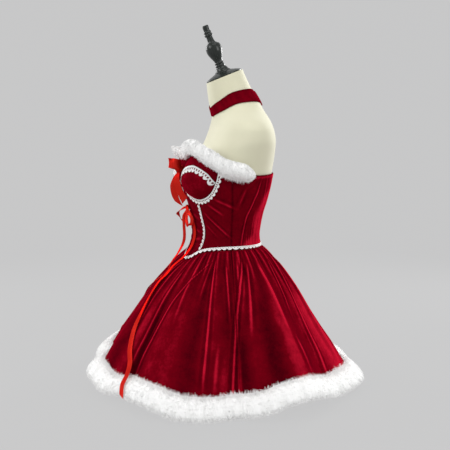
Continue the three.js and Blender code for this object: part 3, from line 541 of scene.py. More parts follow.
def panel(name, edges, side, flat, count, laced_left=True, laced_right=True, nap_and_painted_light=PANEL_NAP):
    """A velvet panel between four edges, stitched in at its seams, and creased only clear of its trims."""
    columns, rows = count
    place = fill_edges(*(resampled(edge, size) for edge, size in zip(edges, (rows, rows, columns, columns))))
    angle, z = place[..., 0] * side, place[..., 1]
    surface = bodice_point(angle, z, 0.0)
    across, up = distance_along(surface, 0), distance_along(surface, 1)
    from_right, from_top = across[-1:] - across, up[:, -1:] - up
    beside = np.minimum(across, from_right)
    edge = np.minimum(beside, np.minimum(up, from_top))
    roll = SEAM_ROLL * hump(edge, SEAM_WIDTH)
    open_top = ease(100, 114, np.abs(angle))
    free = ease(6, 14, up) * ease(22, 50, from_top + 24 * open_top)
    for distance, laced in ((across, laced_left), (from_right, laced_right)):
        if laced:
            free = free * ease(*UNDER_LACE, distance)
    crease = crease_height(angle, z, side) * free
    puckers = PUCKER * np.sin(up / 1.7 + 2 * np.sin(up / 9)) * hump(beside, PUCKER_REACH)
    # Painted highlight on the crease ridges, painted shade in their troughs and along the rolled seams and
    # edges.
    tone = nap_and_painted_light + 0.3 * crease - 0.3 * hump(edge, 3)
    # Painted sheen: lighter towards the back, past the angle given for each height.
    tone += 0.5 * ease(-3, 14, np.abs(angle) - painted_back_sheen(z))
    # Painted highlight along the bare top edge of the back.
    tone += 0.4 * open_top * hump(from_top - 5, 3.5)
    velvet_piece(name, name.replace("velvet_", "bodice_"), bodice_point(angle, z, crease - roll + puckers),
                 bodice_point(angle, z, np.minimum(crease, 0) - VELVET), tone, flat[:2], area=flat[2])


def degrees_of(gap):
    return np.degrees(gap / CUP_ARC)


def waist(angle):
    return waist_edge(np.abs(angle))


def top(angle):
    return top_edge(np.abs(angle))


princess_foot = 28.0
for _ in range(20):
    princess_foot = float(princess(waist(princess_foot)))


def princess_seam(gap):
    z = np.linspace(waist(princess_foot), cup_edge(PRINCESS_TOP_TURN)[1], 40)
    return np.stack([princess(z) + degrees_of(gap), z], -1)[:-1]


def level_edge(height, low, high):
    angle = np.linspace(low, high, 80)
    return np.stack([angle, height(angle)], -1)


def ended(line, foot=None, head=None):
    """An edge whose ends are set exactly on the waist or on the top edge."""
    line = line.copy()
    if foot is not None:
        line[0, 1] = foot(line[0, 0])
    if head is not None:
        line[-1, 1] = head(line[-1, 0])
    return line


def centre_front():
    arc = cup_edge(np.linspace(PRINCESS_TOP_TURN, -74, 60), -LAP)
    rise = cup_side(-1, -4, top_crossing(-1), 30, -LAP)
    edge = ended(np.concatenate([princess_seam(LAP), arc, rise]), waist, top)
    mirror = edge * [-1, 1]
    foot, head = edge[0, 0], edge[-1, 0]
    return mirror, edge, level_edge(waist, -foot, foot), level_edge(top, -head, head)


def lower_cup():
    end = math.degrees(math.acos(-CUP_POINT / CUP_BELOW))
    turn = np.linspace(-end, end, 120)
    bottom = cup_edge(turn, LAP)
    across = (np.where(turn < 0, CUP_INNER, CUP_OUTER) - POINT_CUT) * turn / end
    upper = cup_place(across, cup_seam(across) + LAP)
    ends = [bottom[k] + (upper[k] - bottom[k]) * np.linspace(0, 1, 20)[:, None] for k in (0, -1)]
    return ends[0], ends[1], bottom, upper


def upper_cup():
    left = ended(cup_side(-1, CUP_FOOT, top_crossing(-1), 40, LAP), head=top)
    right = ended(cup_side(1, CUP_FOOT, top_crossing(1), 40, LAP), head=top)
    reach = [np.radians(line[0, 0] - CUP_ANGLE) * CUP_ARC for line in (left, right)]
    across = np.linspace(*reach, 90)
    bottom = cup_place(across, cup_seam(across) - LAP)
    left[0], right[0] = bottom[0], bottom[-1]
    return left, right, bottom, level_edge(top, left[-1, 0], right[-1, 0])


def side_front():
    arc = cup_edge(np.linspace(PRINCESS_TOP_TURN, 86, 90), -LAP)
    rise = cup_side(1, 8, top_crossing(1), 30, -LAP)
    inner = ended(np.concatenate([princess_seam(-LAP), arc, rise]), waist, top)
    seam = SIDE_SEAM + degrees_of(LAP)
    outer = np.stack([np.full(80, seam), np.linspace(waist(seam), top(seam), 80)], -1)
    return inner, outer, level_edge(waist, inner[0, 0], seam), level_edge(top, inner[-1, 0], seam)


def back_panel():
    low, high = SIDE_SEAM - degrees_of(LAP), 180 + degrees_of(LAP)
    sides = [np.stack([np.full(80, a), np.linspace(waist(a), top(a), 80)], -1) for a in (low, high)]
    return sides[0], sides[1], level_edge(waist, low, high), level_edge(top, low, high)


HANDS = {"left": 1, "right": -1}
panel("velvet_center_front", centre_front(), 1, (0.16, 0.28, 0.029), (60, 96))
for hand, side in HANDS.items():
    panel(f"velvet_upper_cup_{hand}", upper_cup(), side, (0.13, 0.075, 0.0067), (60, 28), nap_and_painted_light=CUP_NAP)
    panel(f"velvet_lower_cup_{hand}", lower_cup(), side, (0.16, 0.115, 0.0105), (72, 40), nap_and_painted_light=CUP_NAP)
    panel(f"velvet_side_{hand}", side_front(), side, (0.095, 0.22, 0.015), (56, 90), True, False)
    panel(f"velvet_back_{hand}", back_panel(), side, (0.2, 0.19, 0.0366), (80, 64), False, False)

# The skirt: a front and a back of the same velvet, cut flared, gathered onto the waist, and seamed just
# forward of the wearer's sides. The gathers run out into folds of uneven length, and the hem swings in
# big soft lobes, higher at the wearer's right front.
SKIRT_FLARE = [(0, 0), (0.06, 0.09), (0.15, 0.2), (0.3, 0.36), (0.46, 0.5), (0.62, 0.645), (0.75, 0.775),
               (0.87, 0.88), (1, 1), (1.2, 1.17)]  # drop from waist to hem, share of the flare
HEM_RISE = [(-180, 8), (-140, 6), (-110, 14), (-85, 44), (-66, 72), (-52, 78), (-40, 54), (-28, 40), (-10, 31),
            (8, 20), (20, 7), (32, 13), (42, 17), (50, 11), (60, -3), (72, -5), (83, -3), (92, 6), (102, 24),
            (111, 29), (122, 17), (133, 3), (146, 5), (160, 9), (180, 8)]  # angle, height
VALLEYS = np.array([-187, -140, -98, -66, -43, -15, 27, 82, 133, 173, 220])
HEM_RADIUS, HEM_HEIGHT, LOBE_DEPTH, LOBE_WIDTH = 322, 19, 26, 46
GATHERS, GATHER_DEPTH, RIDGES, RIDGE_DEPTH = 32, 2.4, 16, 4.5
FRONT_FULLNESS, TUCK, SKIRT_WALL, SEAM_LAP = 0.055, 0.5, 2.0, 0.06
RIGHT_TURN = 4  # how far the folds at the wearer's right are turned from those at the left
# Angle at the waist and at the hem, how fast it swings, drop at its start and end, height, width in degrees
SKIRT_FOLDS = [
    (10, 13, 3.0, 0.02, 0.70, 2.2, 1.3),
    (27, 24.5, 5.0, 0.05, 0.90, 2.4, 0.9),
    (72, 28.8, 5.0, 0.02, 0.94, 2.8, 0.9),
    (47, 44, 5.0, 0.03, 0.55, 1.8, 1.2),
    (62, 56, 4.0, 0.03, 0.40, 2.0, 1.1),
    (64, 67.5, 3.0, 0.02, 0.92, 2.5, 0.8),
    (78, 71, 2.0, 0.58, 0.99, 1.8, 1.2),
    (75, 81, 4.0, 0.05, 0.55, 1.8, 0.9),
    (89, 87, 3.0, 0.02, 0.38, 2.2, 1.0),
    (97, 78.5, 2.5, 0.02, 1.20, 3.0, 0.8),
    (101, 89, 2.5, 0.04, 0.60, 3.2, 1.3),
    (106, 117, 4.0, 0.03, 0.66, 2.6, 1.7),
    (120, 121, 3.0, 0.58, 0.95, 2.0, 1.3),
    (136, 126, 4.0, 0.03, 0.55, 2.4, 1.2),
    (148, 130, 1.4, 0.04, 0.96, 2.8, 0.9),
    (163, 149, 3.0, 0.03, 0.90, 3.0, 1.3),
    (176, 171, 3.0, 0.04, 0.60, 2.4, 1.3),
]
# Painted highlight and shade: soft bands down the skirt painted lighter or darker.
PAINTED_LIGHT_BANDS = [  # angle, drop where it starts, how much lighter, width in degrees
    (18, 0.30, 0.14, 3.0),
    (26.5, 0.40, -0.24, 2.4),
    (38, 0.30, 0.14, 5.0),
    (49, 0.30, 0.16, 5.0),
    (60, 0.30, -0.16, 3.6),
    (76, 0.62, 0.28, 2.8),
    (86.5, 0.50, -0.28, 3.2),
    (101, 0.35, -0.18, 5.0),
    (113, 0.20, 0.34, 4.4),
    (120, 0.60, 0.12, 4.0),
    (134, 0.55, 0.12, 3.0),
    (146, 0.30, 0.60, 7.0),
    (160, 0.20, 0.22, 5.0),
    (172, 0.30, -0.12, 4.0),
]

flare, hem_rise = smooth(SKIRT_FLARE), smooth(HEM_RISE)


def wrap(angle):
    return (np.asarray(angle, float) + 180) % 360 - 180


def lobe(angle):
    at = wrap(angle)
    i = np.clip(np.searchsorted(VALLEYS, at, side="right") - 1, 0, len(VALLEYS) - 2)
    width = np.diff(VALLEYS)[i]
    wave = np.sin(np.pi * (at - VALLEYS[i]) / width)
    return (np.sqrt(wave ** 2 + 0.02) - 0.62) * width / LOBE_WIDTH


def main_folds(angle, drop):
    """The gathers at the waist, and the folds that they run out into."""
    gathers = cosine(angle * GATHERS) * ease(-0.03, 0.04, drop) * (1 - ease(0.12, 0.5, drop))
    ridges = cosine(angle * RIDGES + 50 * sine(angle * 3))
    size = 0.65 + 0.35 * sine(angle * 5 + 40)
    raised = ease(0.05, 0.45, drop) * (1 - 0.45 * ease(0.6, 1, drop))
    return GATHER_DEPTH * gathers + RIDGE_DEPTH * ridges * size * raised


def fine_folds(angle, drop):
    """Narrow ridges along chosen lines, and small gathers just under the waist."""
    relief = np.zeros(np.broadcast(angle, drop).shape)
    for head, foot, swing, start, end, height, width in SKIRT_FOLDS:
        for side, shift in ((1, 0), (-1, RIGHT_TURN)):
            middle = foot + shift + (head - foot) * np.exp(-swing * drop)
            away = wrap(side * angle - middle) / width
            length = ease(start, start + 0.12, drop) * (1 - ease(end - 0.25, end, drop))
            relief += height * length * (hump(away) - 0.25 * hump(np.abs(away) - 2.2, 1.1))
    small = 1.1 * cosine(angle * 2 * GATHERS + 60 * sine(angle * 7))
    return relief + small * ease(0, 0.02, drop) * (1 - ease(0.05, 0.24, drop))


def painted_light_bands(angle, drop):
    tone = np.zeros(np.broadcast(angle, drop).shape)
    for middle, start, lighter, width in PAINTED_LIGHT_BANDS:
        for side, shift in ((1, 0), (-1, RIGHT_TURN)):
            away = wrap(side * angle - middle - shift)
            tone += lighter * hump(away, width) * ease(start - 0.12, start + 0.2, drop)
    return tone


def skirt_point(angle, drop, out=0.0):
    """A point of the skirt's outside: drop is 0 at the waist and 1 at the hem."""
    angle, drop = np.broadcast_arrays(np.asarray(angle, float), np.asarray(drop, float))
    start = bodice_point(angle, waist(wrap(angle)) - TUCK, 0.0)
    s, c = sine(angle), cosine(angle)
    share = flare(drop) + FRONT_FULLNESS * np.sin(np.pi * np.minimum(drop, 1)) * np.maximum(0, c)
    wide = HEM_RADIUS * share + LOBE_DEPTH * lobe(angle) * drop ** 0.9 + main_folds(angle, drop) + out
    z = start[..., 2] + (HEM_HEIGHT + hem_rise(wrap(angle)) - start[..., 2]) * drop
    return np.stack([start[..., 0] * (1 - share) + s * wide, start[..., 1] * (1 - share) - c * wide, z], -1)


def skirt_panel(part, ends, flat, area):
    angle = np.linspace(*ends, 400)[:, None]
    drop = 0.001 + 0.999 * np.linspace(0, 1, 60)[None, :] ** 1.3
    relief = fine_folds(angle, drop)
    seam = np.minimum(angle - ends[0], ends[1] - angle) * (1 + 4 * drop)
    relief = relief * ease(0, 2.5, seam) - 1.3 * hump(seam, 0.9)
    height = relief + main_folds(angle, drop)
    # Painted highlight on the fold crests and painted shade in the valleys, from the folds' height and bend;
    # below, painted shade at the side seam.
    bend = -1.5 * np.gradient(np.gradient(height, axis=0), axis=0)
    tone = 0.36 + 0.022 * height + np.clip(0.6 * bend, -0.14, 0.5) + painted_light_bands(angle, drop)
    tone -= 0.25 * hump(seam, 1.5)
    velvet_piece(f"skirt_{part}_panel", f"skirt_{part}", skirt_point(angle, drop, relief),
                 skirt_point(angle, drop, relief - SKIRT_WALL), tone, flat, "gathered", area=area)


skirt_ends = {"front": (-SIDE_SEAM - SEAM_LAP, SIDE_SEAM + SEAM_LAP),
              "back": (SIDE_SEAM - SEAM_LAP, 360 - SIDE_SEAM + SEAM_LAP)}
skirt_panel("front", skirt_ends["front"], (1.05, 0.37), 0.255)
skirt_panel("back", skirt_ends["back"], (1.22, 0.38), 0.31)

# The fur: bands of white faux fur with a pile about 15 mm long, sewn on as soft rolls that hide their
# backing. Two go round the hem and meet at the side seams; one lies over the top edge of the bodice,
# thins towards its ends and stops at the shoulder blades.
# Round each section: the pile, the fold of its backing, the heart it grows from, how far tufts spill over
HEM_FUR = ([(1.006, -3), (1.03, 4), (1.032, 20), (0.99, 32), (0.93, 28), (0.895, 11), (0.9, 0.6)],  # drop, out
           (1, 0.6), (0.965, 13), (-0.036, 3))
NECK_FUR = ([(-1.6, 0.5), (-2.6, 5), (0, 21), (9, 28), (19, 28), (28, 20), (32, 8), (27, -6), (13, -15),
             (0, -13)], (0, 0.5), (13, 7), (2, -8))  # out, up
NECK_FUR_END = 104
NECK_FUR_SIZE = [  # angle, size above the edge, size below it, size out
    (0, 0.3, 1, 1), (14, 0.35, 1, 1), (24, 0.6, 0.8, 1), (34, 0.95, 0.5, 1), (46, 1.2, 0.45, 1),
    (60, 1.25, 0.45, 1), (76, 1.1, 0.9, 1), (92, 1, 1, 1), (98, 0.75, 0.8, 0.8), (NECK_FUR_END, 0.3, 0.45, 0.4)]
PILE_SHARE, ROOT_SHARE = 0.8, 0.74  # how far out the dense underfur reaches, and where strands start in it
TUFT = 7.0
SPILL_FROM = (0.74, 0.92)  # the part of the pile that hangs or lies over its edge
SPINE, ROUND = 260, 26  # steps of the underfur, along the roll and round it
FLOOR_CLEAR = 0.6
# The strand roots and the dense underfur are painted a little darker than the tips: painted shade deep in the
# pile.
FUR_ROOT_PAINTED_SHADE = (0.96, 0.96, 0.95, 1)
FUR_TIP = (0.985, 0.985, 0.98, 1)


def curve_through(points, at):
    """A centripetal Catmull-Rom curve through points, by a number that counts them from 0."""
    points = np.asarray(points, float)
    ends = np.concatenate([[2 * points[0] - points[1]], points, [2 * points[-1] - points[-2]]])
    gaps = np.linalg.norm(np.diff(ends, axis=0), axis=1) ** 0.5
    i = np.clip(np.floor(at).astype(int), 0, len(points) - 2)
    w = (at - i)[..., None]
    before, here, after = (gaps[i + k][..., None] for k in range(3))
    p0, p1, p2, p3 = (ends[i + k] for k in range(4))
    leave = ((p1 - p0) / before - (p2 - p0) / (before + here) + (p2 - p1) / here) * here
    arrive = ((p2 - p1) / here - (p3 - p1) / (here + after) + (p3 - p2) / after) * here
    return (p1 * (1 + 2 * w) * (1 - w) ** 2 + leave * w * (1 - w) ** 2
            + p2 * w * w * (3 - 2 * w) + arrive * w * w * (w - 1))


def fur_finish():
    material, feed, place = new_finish("white_fur_pile", 0.85, sheen_weight=0.5, sheen_roughness=0.4,
                                       specular_ior_level=0.2)
    depth = place.attribute("depth")
    feed("Base Color", (depth * 0.8 + place.noise(60.0) * 0.4).clamped().blend(FUR_ROOT_PAINTED_SHADE, FUR_TIP))
    feed("Normal", bumped(place.noise(800.0, 3.0), 0.3, 0.0015))
    return material


white_fur = fur_finish()


def fur_piece(name, node, place, section, ends, strands, seed):
    """A roll of fur: a dense body, and strands drawn together in tufts that lean with the nap."""
    dice = np.random.default_rng(seed)
    pile, fold, heart, spill = (np.array(part, float) for part in section)

    def pile_point(angle, along, reach, spilt=0.0):
        """A place on the pile: along runs round it from 0 to 1, reach is 1 at its outer size."""
        at = curve_through(pile, along * (len(pile) - 1))
        at = heart + (at - heart) * reach[..., None] + np.multiply.outer(spilt, spill)
        return place(angle, at[..., 0], at[..., 1])

    angle, along = np.meshgrid(np.linspace(*ends, SPINE), np.linspace(0, 1, ROUND), indexing="ij")
    soft = 1 + 0.07 * np.sin(angle * 0.9) * np.sin(along * 9) + 0.06 * np.sin(angle * 2.3 + 5 * along)
    reach = 1 - (1 - PILE_SHARE * soft) * ease(0, 0.12, np.minimum(along, 1 - along))
    lining = place(angle[:, :1], *fold[:, None, None])
    rings = np.concatenate([pile_point(angle, along, reach), lining], axis=1)

    turn = dice.uniform(*ends, strands)
    round_ = dice.uniform(0.04, 0.96, strands)
    span = ends[1] - ends[0]
    degree = pile_point(np.array([0.0, 1.0]), np.array([0.5, 0.5]), np.ones(2))
    tufts_along = int(span * np.linalg.norm(degree[1] - degree[0]) / TUFT)
    tufts_round = int(len(pile) * 15 / TUFT)
    cell_a = np.floor((turn - ends[0]) / span * tufts_along).astype(int)
    cell_r = np.floor(round_ * tufts_round).astype(int)
    jitter = dice.uniform(0.15, 0.85, (tufts_along, tufts_round, 4))[cell_a, cell_r]
    tuft_turn = ends[0] + (cell_a + jitter[:, 0]) / tufts_along * span
    tuft_round = (cell_r + jitter[:, 1]) / tufts_round
    root = pile_point(turn, round_, np.full(strands, ROOT_SHARE))
    spilt = ease(*SPILL_FROM, round_) * dice.uniform(0, 1, strands)
    own = pile_point(turn + dice.normal(0, 0.5, strands), round_, dice.uniform(0.9, 1.06, strands), spilt)
    shared = pile_point(tuft_turn + (jitter[:, 2] - 0.5) * 3, tuft_round, 0.92 + 0.2 * jitter[:, 3],
                        ease(*SPILL_FROM, tuft_round) * jitter[:, 3])
    pull = dice.uniform(0.45, 0.9, strands)[:, None]
    tip = own + (shared - own) * pull + dice.normal(0, 1.0, (strands, 3)) - [0, 0, 1.5]
    middle = root + (own - root) * 0.6 + dice.normal(0, 0.5, (strands, 3))
    across = np.cross(tip - root, dice.normal(0, 1, (strands, 3)))
    across *= (dice.uniform(0.3, 0.52, strands) / np.linalg.norm(across, axis=1))[:, None]
    blades = np.stack([root - across, root + across, middle + across * 0.8, middle - across * 0.8, tip], 1)
    blades[..., 2] = np.maximum(blades[..., 2], FLOOR_CLEAR)

    count, size = rings.shape[:2]
    k = np.arange(size - 2)
    first = np.stack([k * 0, k + 1, k + 2], -1)
    last = first[:, ::-1] + (count - 1) * size
    start = count * size + 5 * np.arange(strands)[:, None]
    mesh = make_mesh(name, np.concatenate([rings.reshape(-1, 3), blades.reshape(-1, 3)]),
                     np.concatenate([tube_quads(count, size), start + [0, 1, 2, 3]]),
                     np.concatenate([first, last, start + [3, 2, 4]]), sharp=180)
    # Painted shade: the underfur and the strand roots get the lower values, so they are painted darker.
    add_tone(mesh, "depth", np.full(count * size, 0.55), np.tile([0.6, 0.6, 0.85, 0.85, 1.0], strands))
    add_piece(mesh, white_fur, node)


fur_above, fur_below, fur_out = (smooth(NECK_FUR_SIZE, k) for k in (1, 2, 3))


def neck_place(angle, out, up):
    """A place by the top edge: the roll stands upright above it, slims at its ends, and lies flatter
    at the right."""
    turn = np.abs(angle)
    crushed = 1 - 0.8 * ease(-70, -44, angle) * (1 - ease(-16, 4, angle))
    height = up * np.where(up > 1, fur_above(turn) * crushed, np.where(up < 0, fur_below(turn), 1))
    edge = np.minimum(height, 0.5)
    clear = 0.7 + 3 * (1 - ease(70, 84, turn))
    place = bodice_point(angle, top(angle) + edge, np.where(out < 0, out, clear + out * fur_out(turn)))
    place[..., 2] += height - edge
    return place


strands = 26000
for seed, (part, ends) in enumerate(skirt_ends.items()):
    fur_piece(f"hem_fur_{part}", f"fur_hem_{part}", skirt_point, HEM_FUR, ends, strands, seed)
neck_ends, NECK_SEED = (-NECK_FUR_END, NECK_FUR_END), 7
fur_piece("neckline_fur", "fur_neckline", neck_place, NECK_FUR, neck_ends, strands, NECK_SEED)

# The lace: white cotton edging, 8 to 13 mm wide, with a corded heading, a row of eyelets and rounded
# scallops. It is stitched flat over the seams: across each cup, round under it, down the princess seams
# and round the waist.
LACE, LACE_LIFT, CUP_LIFT = 0.8, 0.6, 1.0
CUP_TOP_ENDS, CUP_UNDER_ENDS = (-60, 64), (-60, 98)  # across from the cup's middle, and turn round it
PRINCESS_FREE = (12, 14.5)  # what the lace leaves bare at the seam's foot and head
WAIST_HEADING, WAIST_GAP = 8.5, 0.15
LACE_ROWS = [0, 0.1, 0.22, 0.6, 0.82, 1]
EYELET_ROW, STEPS_TO_SCALLOP = 2, 8
LACE_WHITE = (0.95, 0.95, 0.94, 1)
LACE_SHADE = (0.82, 0.81, 0.79, 1)


def lace_finish():
    material, feed, place = new_finish("cotton_lace", 0.75, sheen_weight=0.3, sheen_roughness=0.5)
    wave = {"Vector": place, "Scale": 260.0, "Distortion": 2.0}
    thread = place.node("TexWave", {"bands_direction": "Z"}, wave)
    feed("Base Color", (thread * 0.5 + place.noise(90.0) * 0.6).clamped().blend(LACE_SHADE, LACE_WHITE))
    feed("Normal", bumped(thread, 0.4, 0.0004))
    return material


cotton_lace = lace_finish()


def lace_piece(part, scallops, narrow, wide, eyelet, towards, flat, side=1, lift=LACE_LIFT):
    """Lace edging: towards gives a place from the share of the length and the width from the heading."""
    rows, columns = len(LACE_ROWS), STEPS_TO_SCALLOP * scallops + 1
    t, share = np.meshgrid(np.arange(columns) / STEPS_TO_SCALLOP, LACE_ROWS, indexing="ij")
    quads = grid_quads(columns, rows)
    quads = quads[np.arange(len(quads)) % (rows - 1) != EYELET_ROW]
    t, share = t.ravel(), share.ravel()
    half = STEPS_TO_SCALLOP // 2
    for cell in range(2 * scallops):
        low = (half * cell + np.arange(half + 1)) * rows + EYELET_ROW
        ring = np.concatenate([low, low[::-1] + 1])
        middle = t[ring].mean(), share[ring].mean()
        size = np.array([flat[1] * 1000 / scallops, (narrow + wide) / 2])
        away = (np.stack([t[ring], share[ring]], -1) - middle) * size
        hole = middle + unit(away) * eyelet / size
        new = len(t) + np.arange(len(ring))
        quads = np.concatenate([quads, np.stack([ring, np.roll(ring, -1), np.roll(new, -1), new], -1)])
        t, share = np.concatenate([t, hole[:, 0]]), np.concatenate([share, hole[:, 1]])
    width = share * (narrow + (wide - narrow) * np.abs(np.sin(np.pi * t)) ** 0.7)
    angle, z = towards(t / scallops, width)
    cord = 0.4 * hump(share - 0.1, 0.09) + 0.3 * hump(share - 1, 0.1)
    outer = bodice_point(angle * side, z, lift + LACE + cord)
    inner = bodice_point(angle * side, z, np.full(len(t), float(lift)))
    mesh = cloth_mesh(f"edging_{part}", outer, inner, quads, sharp=60)
    add_cloth(mesh, cotton_lace, "white_lace", f"lace_{part}", flat)


def cup_top_course(t, width):
    across = CUP_TOP_ENDS[0] + (CUP_TOP_ENDS[1] - CUP_TOP_ENDS[0]) * t
    slope = (cup_seam(across + 1) - cup_seam(across - 1)) / 2
    lean = np.hypot(1, slope)
    return cup_place(across + slope * width / lean, cup_seam(across) - 1 - width / lean).T


def cup_under_course(t, width):
    return cup_edge(CUP_UNDER_ENDS[0] + (CUP_UNDER_ENDS[1] - CUP_UNDER_ENDS[0]) * t, width + 0.8).T


def princess_course(t, width):
    low, high = waist(princess_foot) + PRINCESS_FREE[0], cup_edge(PRINCESS_TOP_TURN)[1] - PRINCESS_FREE[1]
    z = low + (high - low) * t
    return princess(z) + degrees_of(2 - width), z


def waist_course(t, width):
    angle = 180 - WAIST_GAP - (360 - 2 * WAIST_GAP) * t
    return angle, waist(angle) + WAIST_HEADING - width


# After the name: scallops, width between and at them, eyelets' radius, course, flat size, side, lift
for hand, side in HANDS.items():
    lace_piece(f"cup_top_{hand}", 11, 6.5, 13, 2.0, cup_top_course, (0.014, 0.14), side, CUP_LIFT)
    lace_piece(f"cup_under_{hand}", 15, 6, 12, 1.8, cup_under_course, (0.013, 0.15), side)
    lace_piece(f"princess_{hand}", 12, 4, 9, 1.4, princess_course, (0.01, 0.105), side)
lace_piece("waist", 46, 3.4, 7.6, 0.9, waist_course, (0.01, 0.72))

# The bows: scarlet double-faced satin ribbon. The wide one is tied under the neckline with two short
# ends; the narrow one under the bust has two long ends that fall over the skirt to the hem, cut slanting.
# Each is stitched on through its knot.
RIBBON, KNOT_FOLDS = 0.8, 5
TAIL_SLANTS = {"left": -4, "right": 6}
SATIN_RED = (0.46, 0.012, 0.008, 1)
SATIN_LIT = (0.64, 0.026, 0.017, 1)
UPPER_LOOP = [  # x (for the left one), y, z, width, lean of its breadth, tip of its breadth
    (2, -126, 556, 11, 0, 90), (13, -138, 563, 20, 0, 90), (25, -143, 568, 24, 0, 90),
    (32, -137, 567.5, 25, 0, 90), (32, -128, 566, 24, 0, 90), (22, -121, 562, 18, 0, 90),
    (2, -117, 556, 11, 0, 90),
]
UPPER_TAILS = {
    "left": [
        (5.4, -120, 545.4, 8.6, 8, 0), (9, -127, 534, 17, 30, 0), (13, -127.5, 516, 22, 38, 0),
        (18, -120, 494, 22, 42, 0), (24, -110, 473, 22, 44, 25),
    ],
    "right": [
        (-5.4, -120, 545.4, 8.6, 10, 0), (-9, -128, 532, 17, 30, 0), (-16, -133, 510, 21, 42, 0),
        (-20, -128, 484, 21, 42, 0), (-21, -118, 462, 18, 40, 0),
    ],
}
LOWER_LOOPS = {
    "right": [
        (-2, -98, 455, 6, 90, 60), (-14, -109, 451, 9, 90, 60), (-26, -120, 438, 9, 90, 20),
        (-26, -114, 425, 9, 90, -60), (-19, -106, 417, 9, 90, -60), (-15, -100, 434, 8, 90, 0),
        (-5, -98, 453, 6, 60, 0),
    ],
    "left": [
        (2, -99, 456, 6, 90, 60), (12, -103, 454, 9, 80, 60), (29, -101, 442, 9, 60, 20),
        (37, -95, 428, 9, 60, 0), (33, -96, 414, 9, 60, -50), (22, -102, 409, 9, 60, 60),
        (13, -104, 422, 8, 60, 0), (3, -100, 452, 6, 60, 0),
    ],
}
LONG_TAILS = {  # the hanging stretch as above, then the lying one: angle, drop, out, width, twist
    "right": ([
        (-1, -101.5, 447.4, 8, 10, 0), (-7, -108, 432, 10, 25, 0), (-8, -107, 408, 11, 30, 0),
        (-10, -107, 368, 11, 30, 0), (-12, -123, 334, 11, 10, 0), (-15, -141, 309, 11, 0, 0),
    ], [
        (-7, 0.13, 3.4, 11, 0), (-15, 0.22, 3.2, 11, 0), (-26, 0.36, 3.4, 11, 0), (-35, 0.52, 6, 11, 0),
        (-40, 0.68, 6.5, 11, 0), (-42, 0.8, 8, 11, 0), (-43, 0.87, 24, 11, 0), (-43.5, 0.93, 36, 11, 0),
        (-44, 0.99, 36, 11, 0),
    ]),
    "left": ([
        (4, -96.5, 447.6, 8, -10, 0), (17, -95, 437, 9, 5, 0), (28, -91.5, 424, 10, 15, 0),
        (33, -88, 408, 11, 20, 0), (33, -87, 385, 11, 22, 0), (28, -95, 356, 11, 20, 0),
        (21, -114, 329, 11, 15, 0), (15, -139, 307, 11, 10, 0),
    ], [
        (3, 0.12, 8, 11, 0), (3, 0.19, 8, 11, -8), (7, 0.3, 8.5, 11, -8), (10.5, 0.42, 9, 11, 6),
        (15, 0.56, 9, 11, 38), (21, 0.7, 9, 11, 40), (25, 0.8, 11, 11, 40), (28.5, 0.87, 26, 11, 34),
        (31, 0.93, 37, 11, 30), (33.8, 1, 37, 11, 26),
    ]),
}


def satin_finish():
    material, feed, place = new_finish("scarlet_satin", 0.36, metallic=0.35, specular_ior_level=0.0,
                                       specular_tint=(1, 0.15, 0.1, 1))
    weft = place.noise(1500.0, 2.0)
    feed("Base Color", place.noise(45.0, 3.0).blend(SATIN_RED, SATIN_LIT))
    feed("Roughness", weft * 0.14 + 0.3)
    feed("Normal", bumped(weft, 0.08, 0.0003))
    return material


satin = satin_finish()


def hanging(rows):
    """Rows of a course in the air, as points, widths and directions of the breadth."""
    x, y, z, wide, lean, tip = np.array(rows, float).T
    breadth = np.stack([cosine(lean) * cosine(tip), sine(lean) * cosine(tip), sine(tip)], -1)
    return np.stack([x, y, z], -1), wide, breadth


def lying(rows):
    """Rows of a course along the skirt."""
    angle, drop, out, wide, twist = np.array(rows, float).T
    points = skirt_point(angle, drop, out)
    along = unit(skirt_point(angle + 2, drop, out) - skirt_point(angle - 2, drop, out))
    away = unit(skirt_point(angle, drop, out + 1) - points)
    return points, wide, along * cosine(twist)[:, None] - away * sine(twist)[:, None]


def ribbon_points(course, steps, crimp=0.0, slant=0.0, curl=0.5):
    """Both faces of a ribbon: crimped at the ends held by a knot, curled a little, cut slanting."""
    points, wide, breadth = course
    at = np.linspace(0, len(points) - 1, steps)
    centre = curve_through(points, at)
    known = np.arange(len(points))
    wide = np.interp(at, known, wide)
    breadth = unit(np.stack([np.interp(at, known, breadth[:, k]) for k in range(3)], -1))
    along = unit(np.gradient(centre, axis=0))
    normal = unit(np.cross(along, breadth))
    v = np.linspace(-1, 1, 13)[None, :, None]
    t = np.linspace(0, 1, steps)[:, None, None]
    held = np.exp(-t / 0.12) + (np.exp(-(1 - t) / 0.12) if slant == 0 else 0)
    raised = curl * (v ** 2 - 0.4) * np.sin(9 * t + 1) + crimp * held * np.cos(3.5 * np.pi * v)
    shift = slant * v * ease(0.9, 1, t)
    middle = (centre[:, None] + breadth[:, None] * v * wide[:, None, None] / 2
              + along[:, None] * shift + normal[:, None] * raised)
    return middle + normal[:, None] * RIBBON / 2, middle - normal[:, None] * RIBBON / 2


def knot_rings(low, high):
    """A knot: ribbon drawn round into a small soft block with folds along it."""
    low, high = np.array(low, float), np.array(high, float)
    x = np.linspace(-1, 1, 24)[:, None]
    turn = np.radians(np.arange(0, 360, 9.0))[None, :]
    c, s = np.cos(turn), np.sin(turn)
    size = (1 - 0.5 * x ** 4) * (1 - 0.05 * np.cos(KNOT_FOLDS * 2 * turn + 3 * x))
    square = (np.abs(c) ** 3 + np.abs(s) ** 3) ** (-1 / 3)
    block = np.stack(np.broadcast_arrays(x, c * size * square, s * size * square), -1)
    return (low + high) / 2 + block * (high - low) / 2


def joined(meshes, name):
    """Several meshes as one."""
    objects = [linked(mesh.name, mesh) for mesh in meshes]
    with bpy.context.temp_override(active_object=objects[0], selected_editable_objects=objects):
        bpy.ops.object.join()
    mesh = objects[0].data
    mesh.name = name
    bpy.data.objects.remove(objects[0])
    return mesh


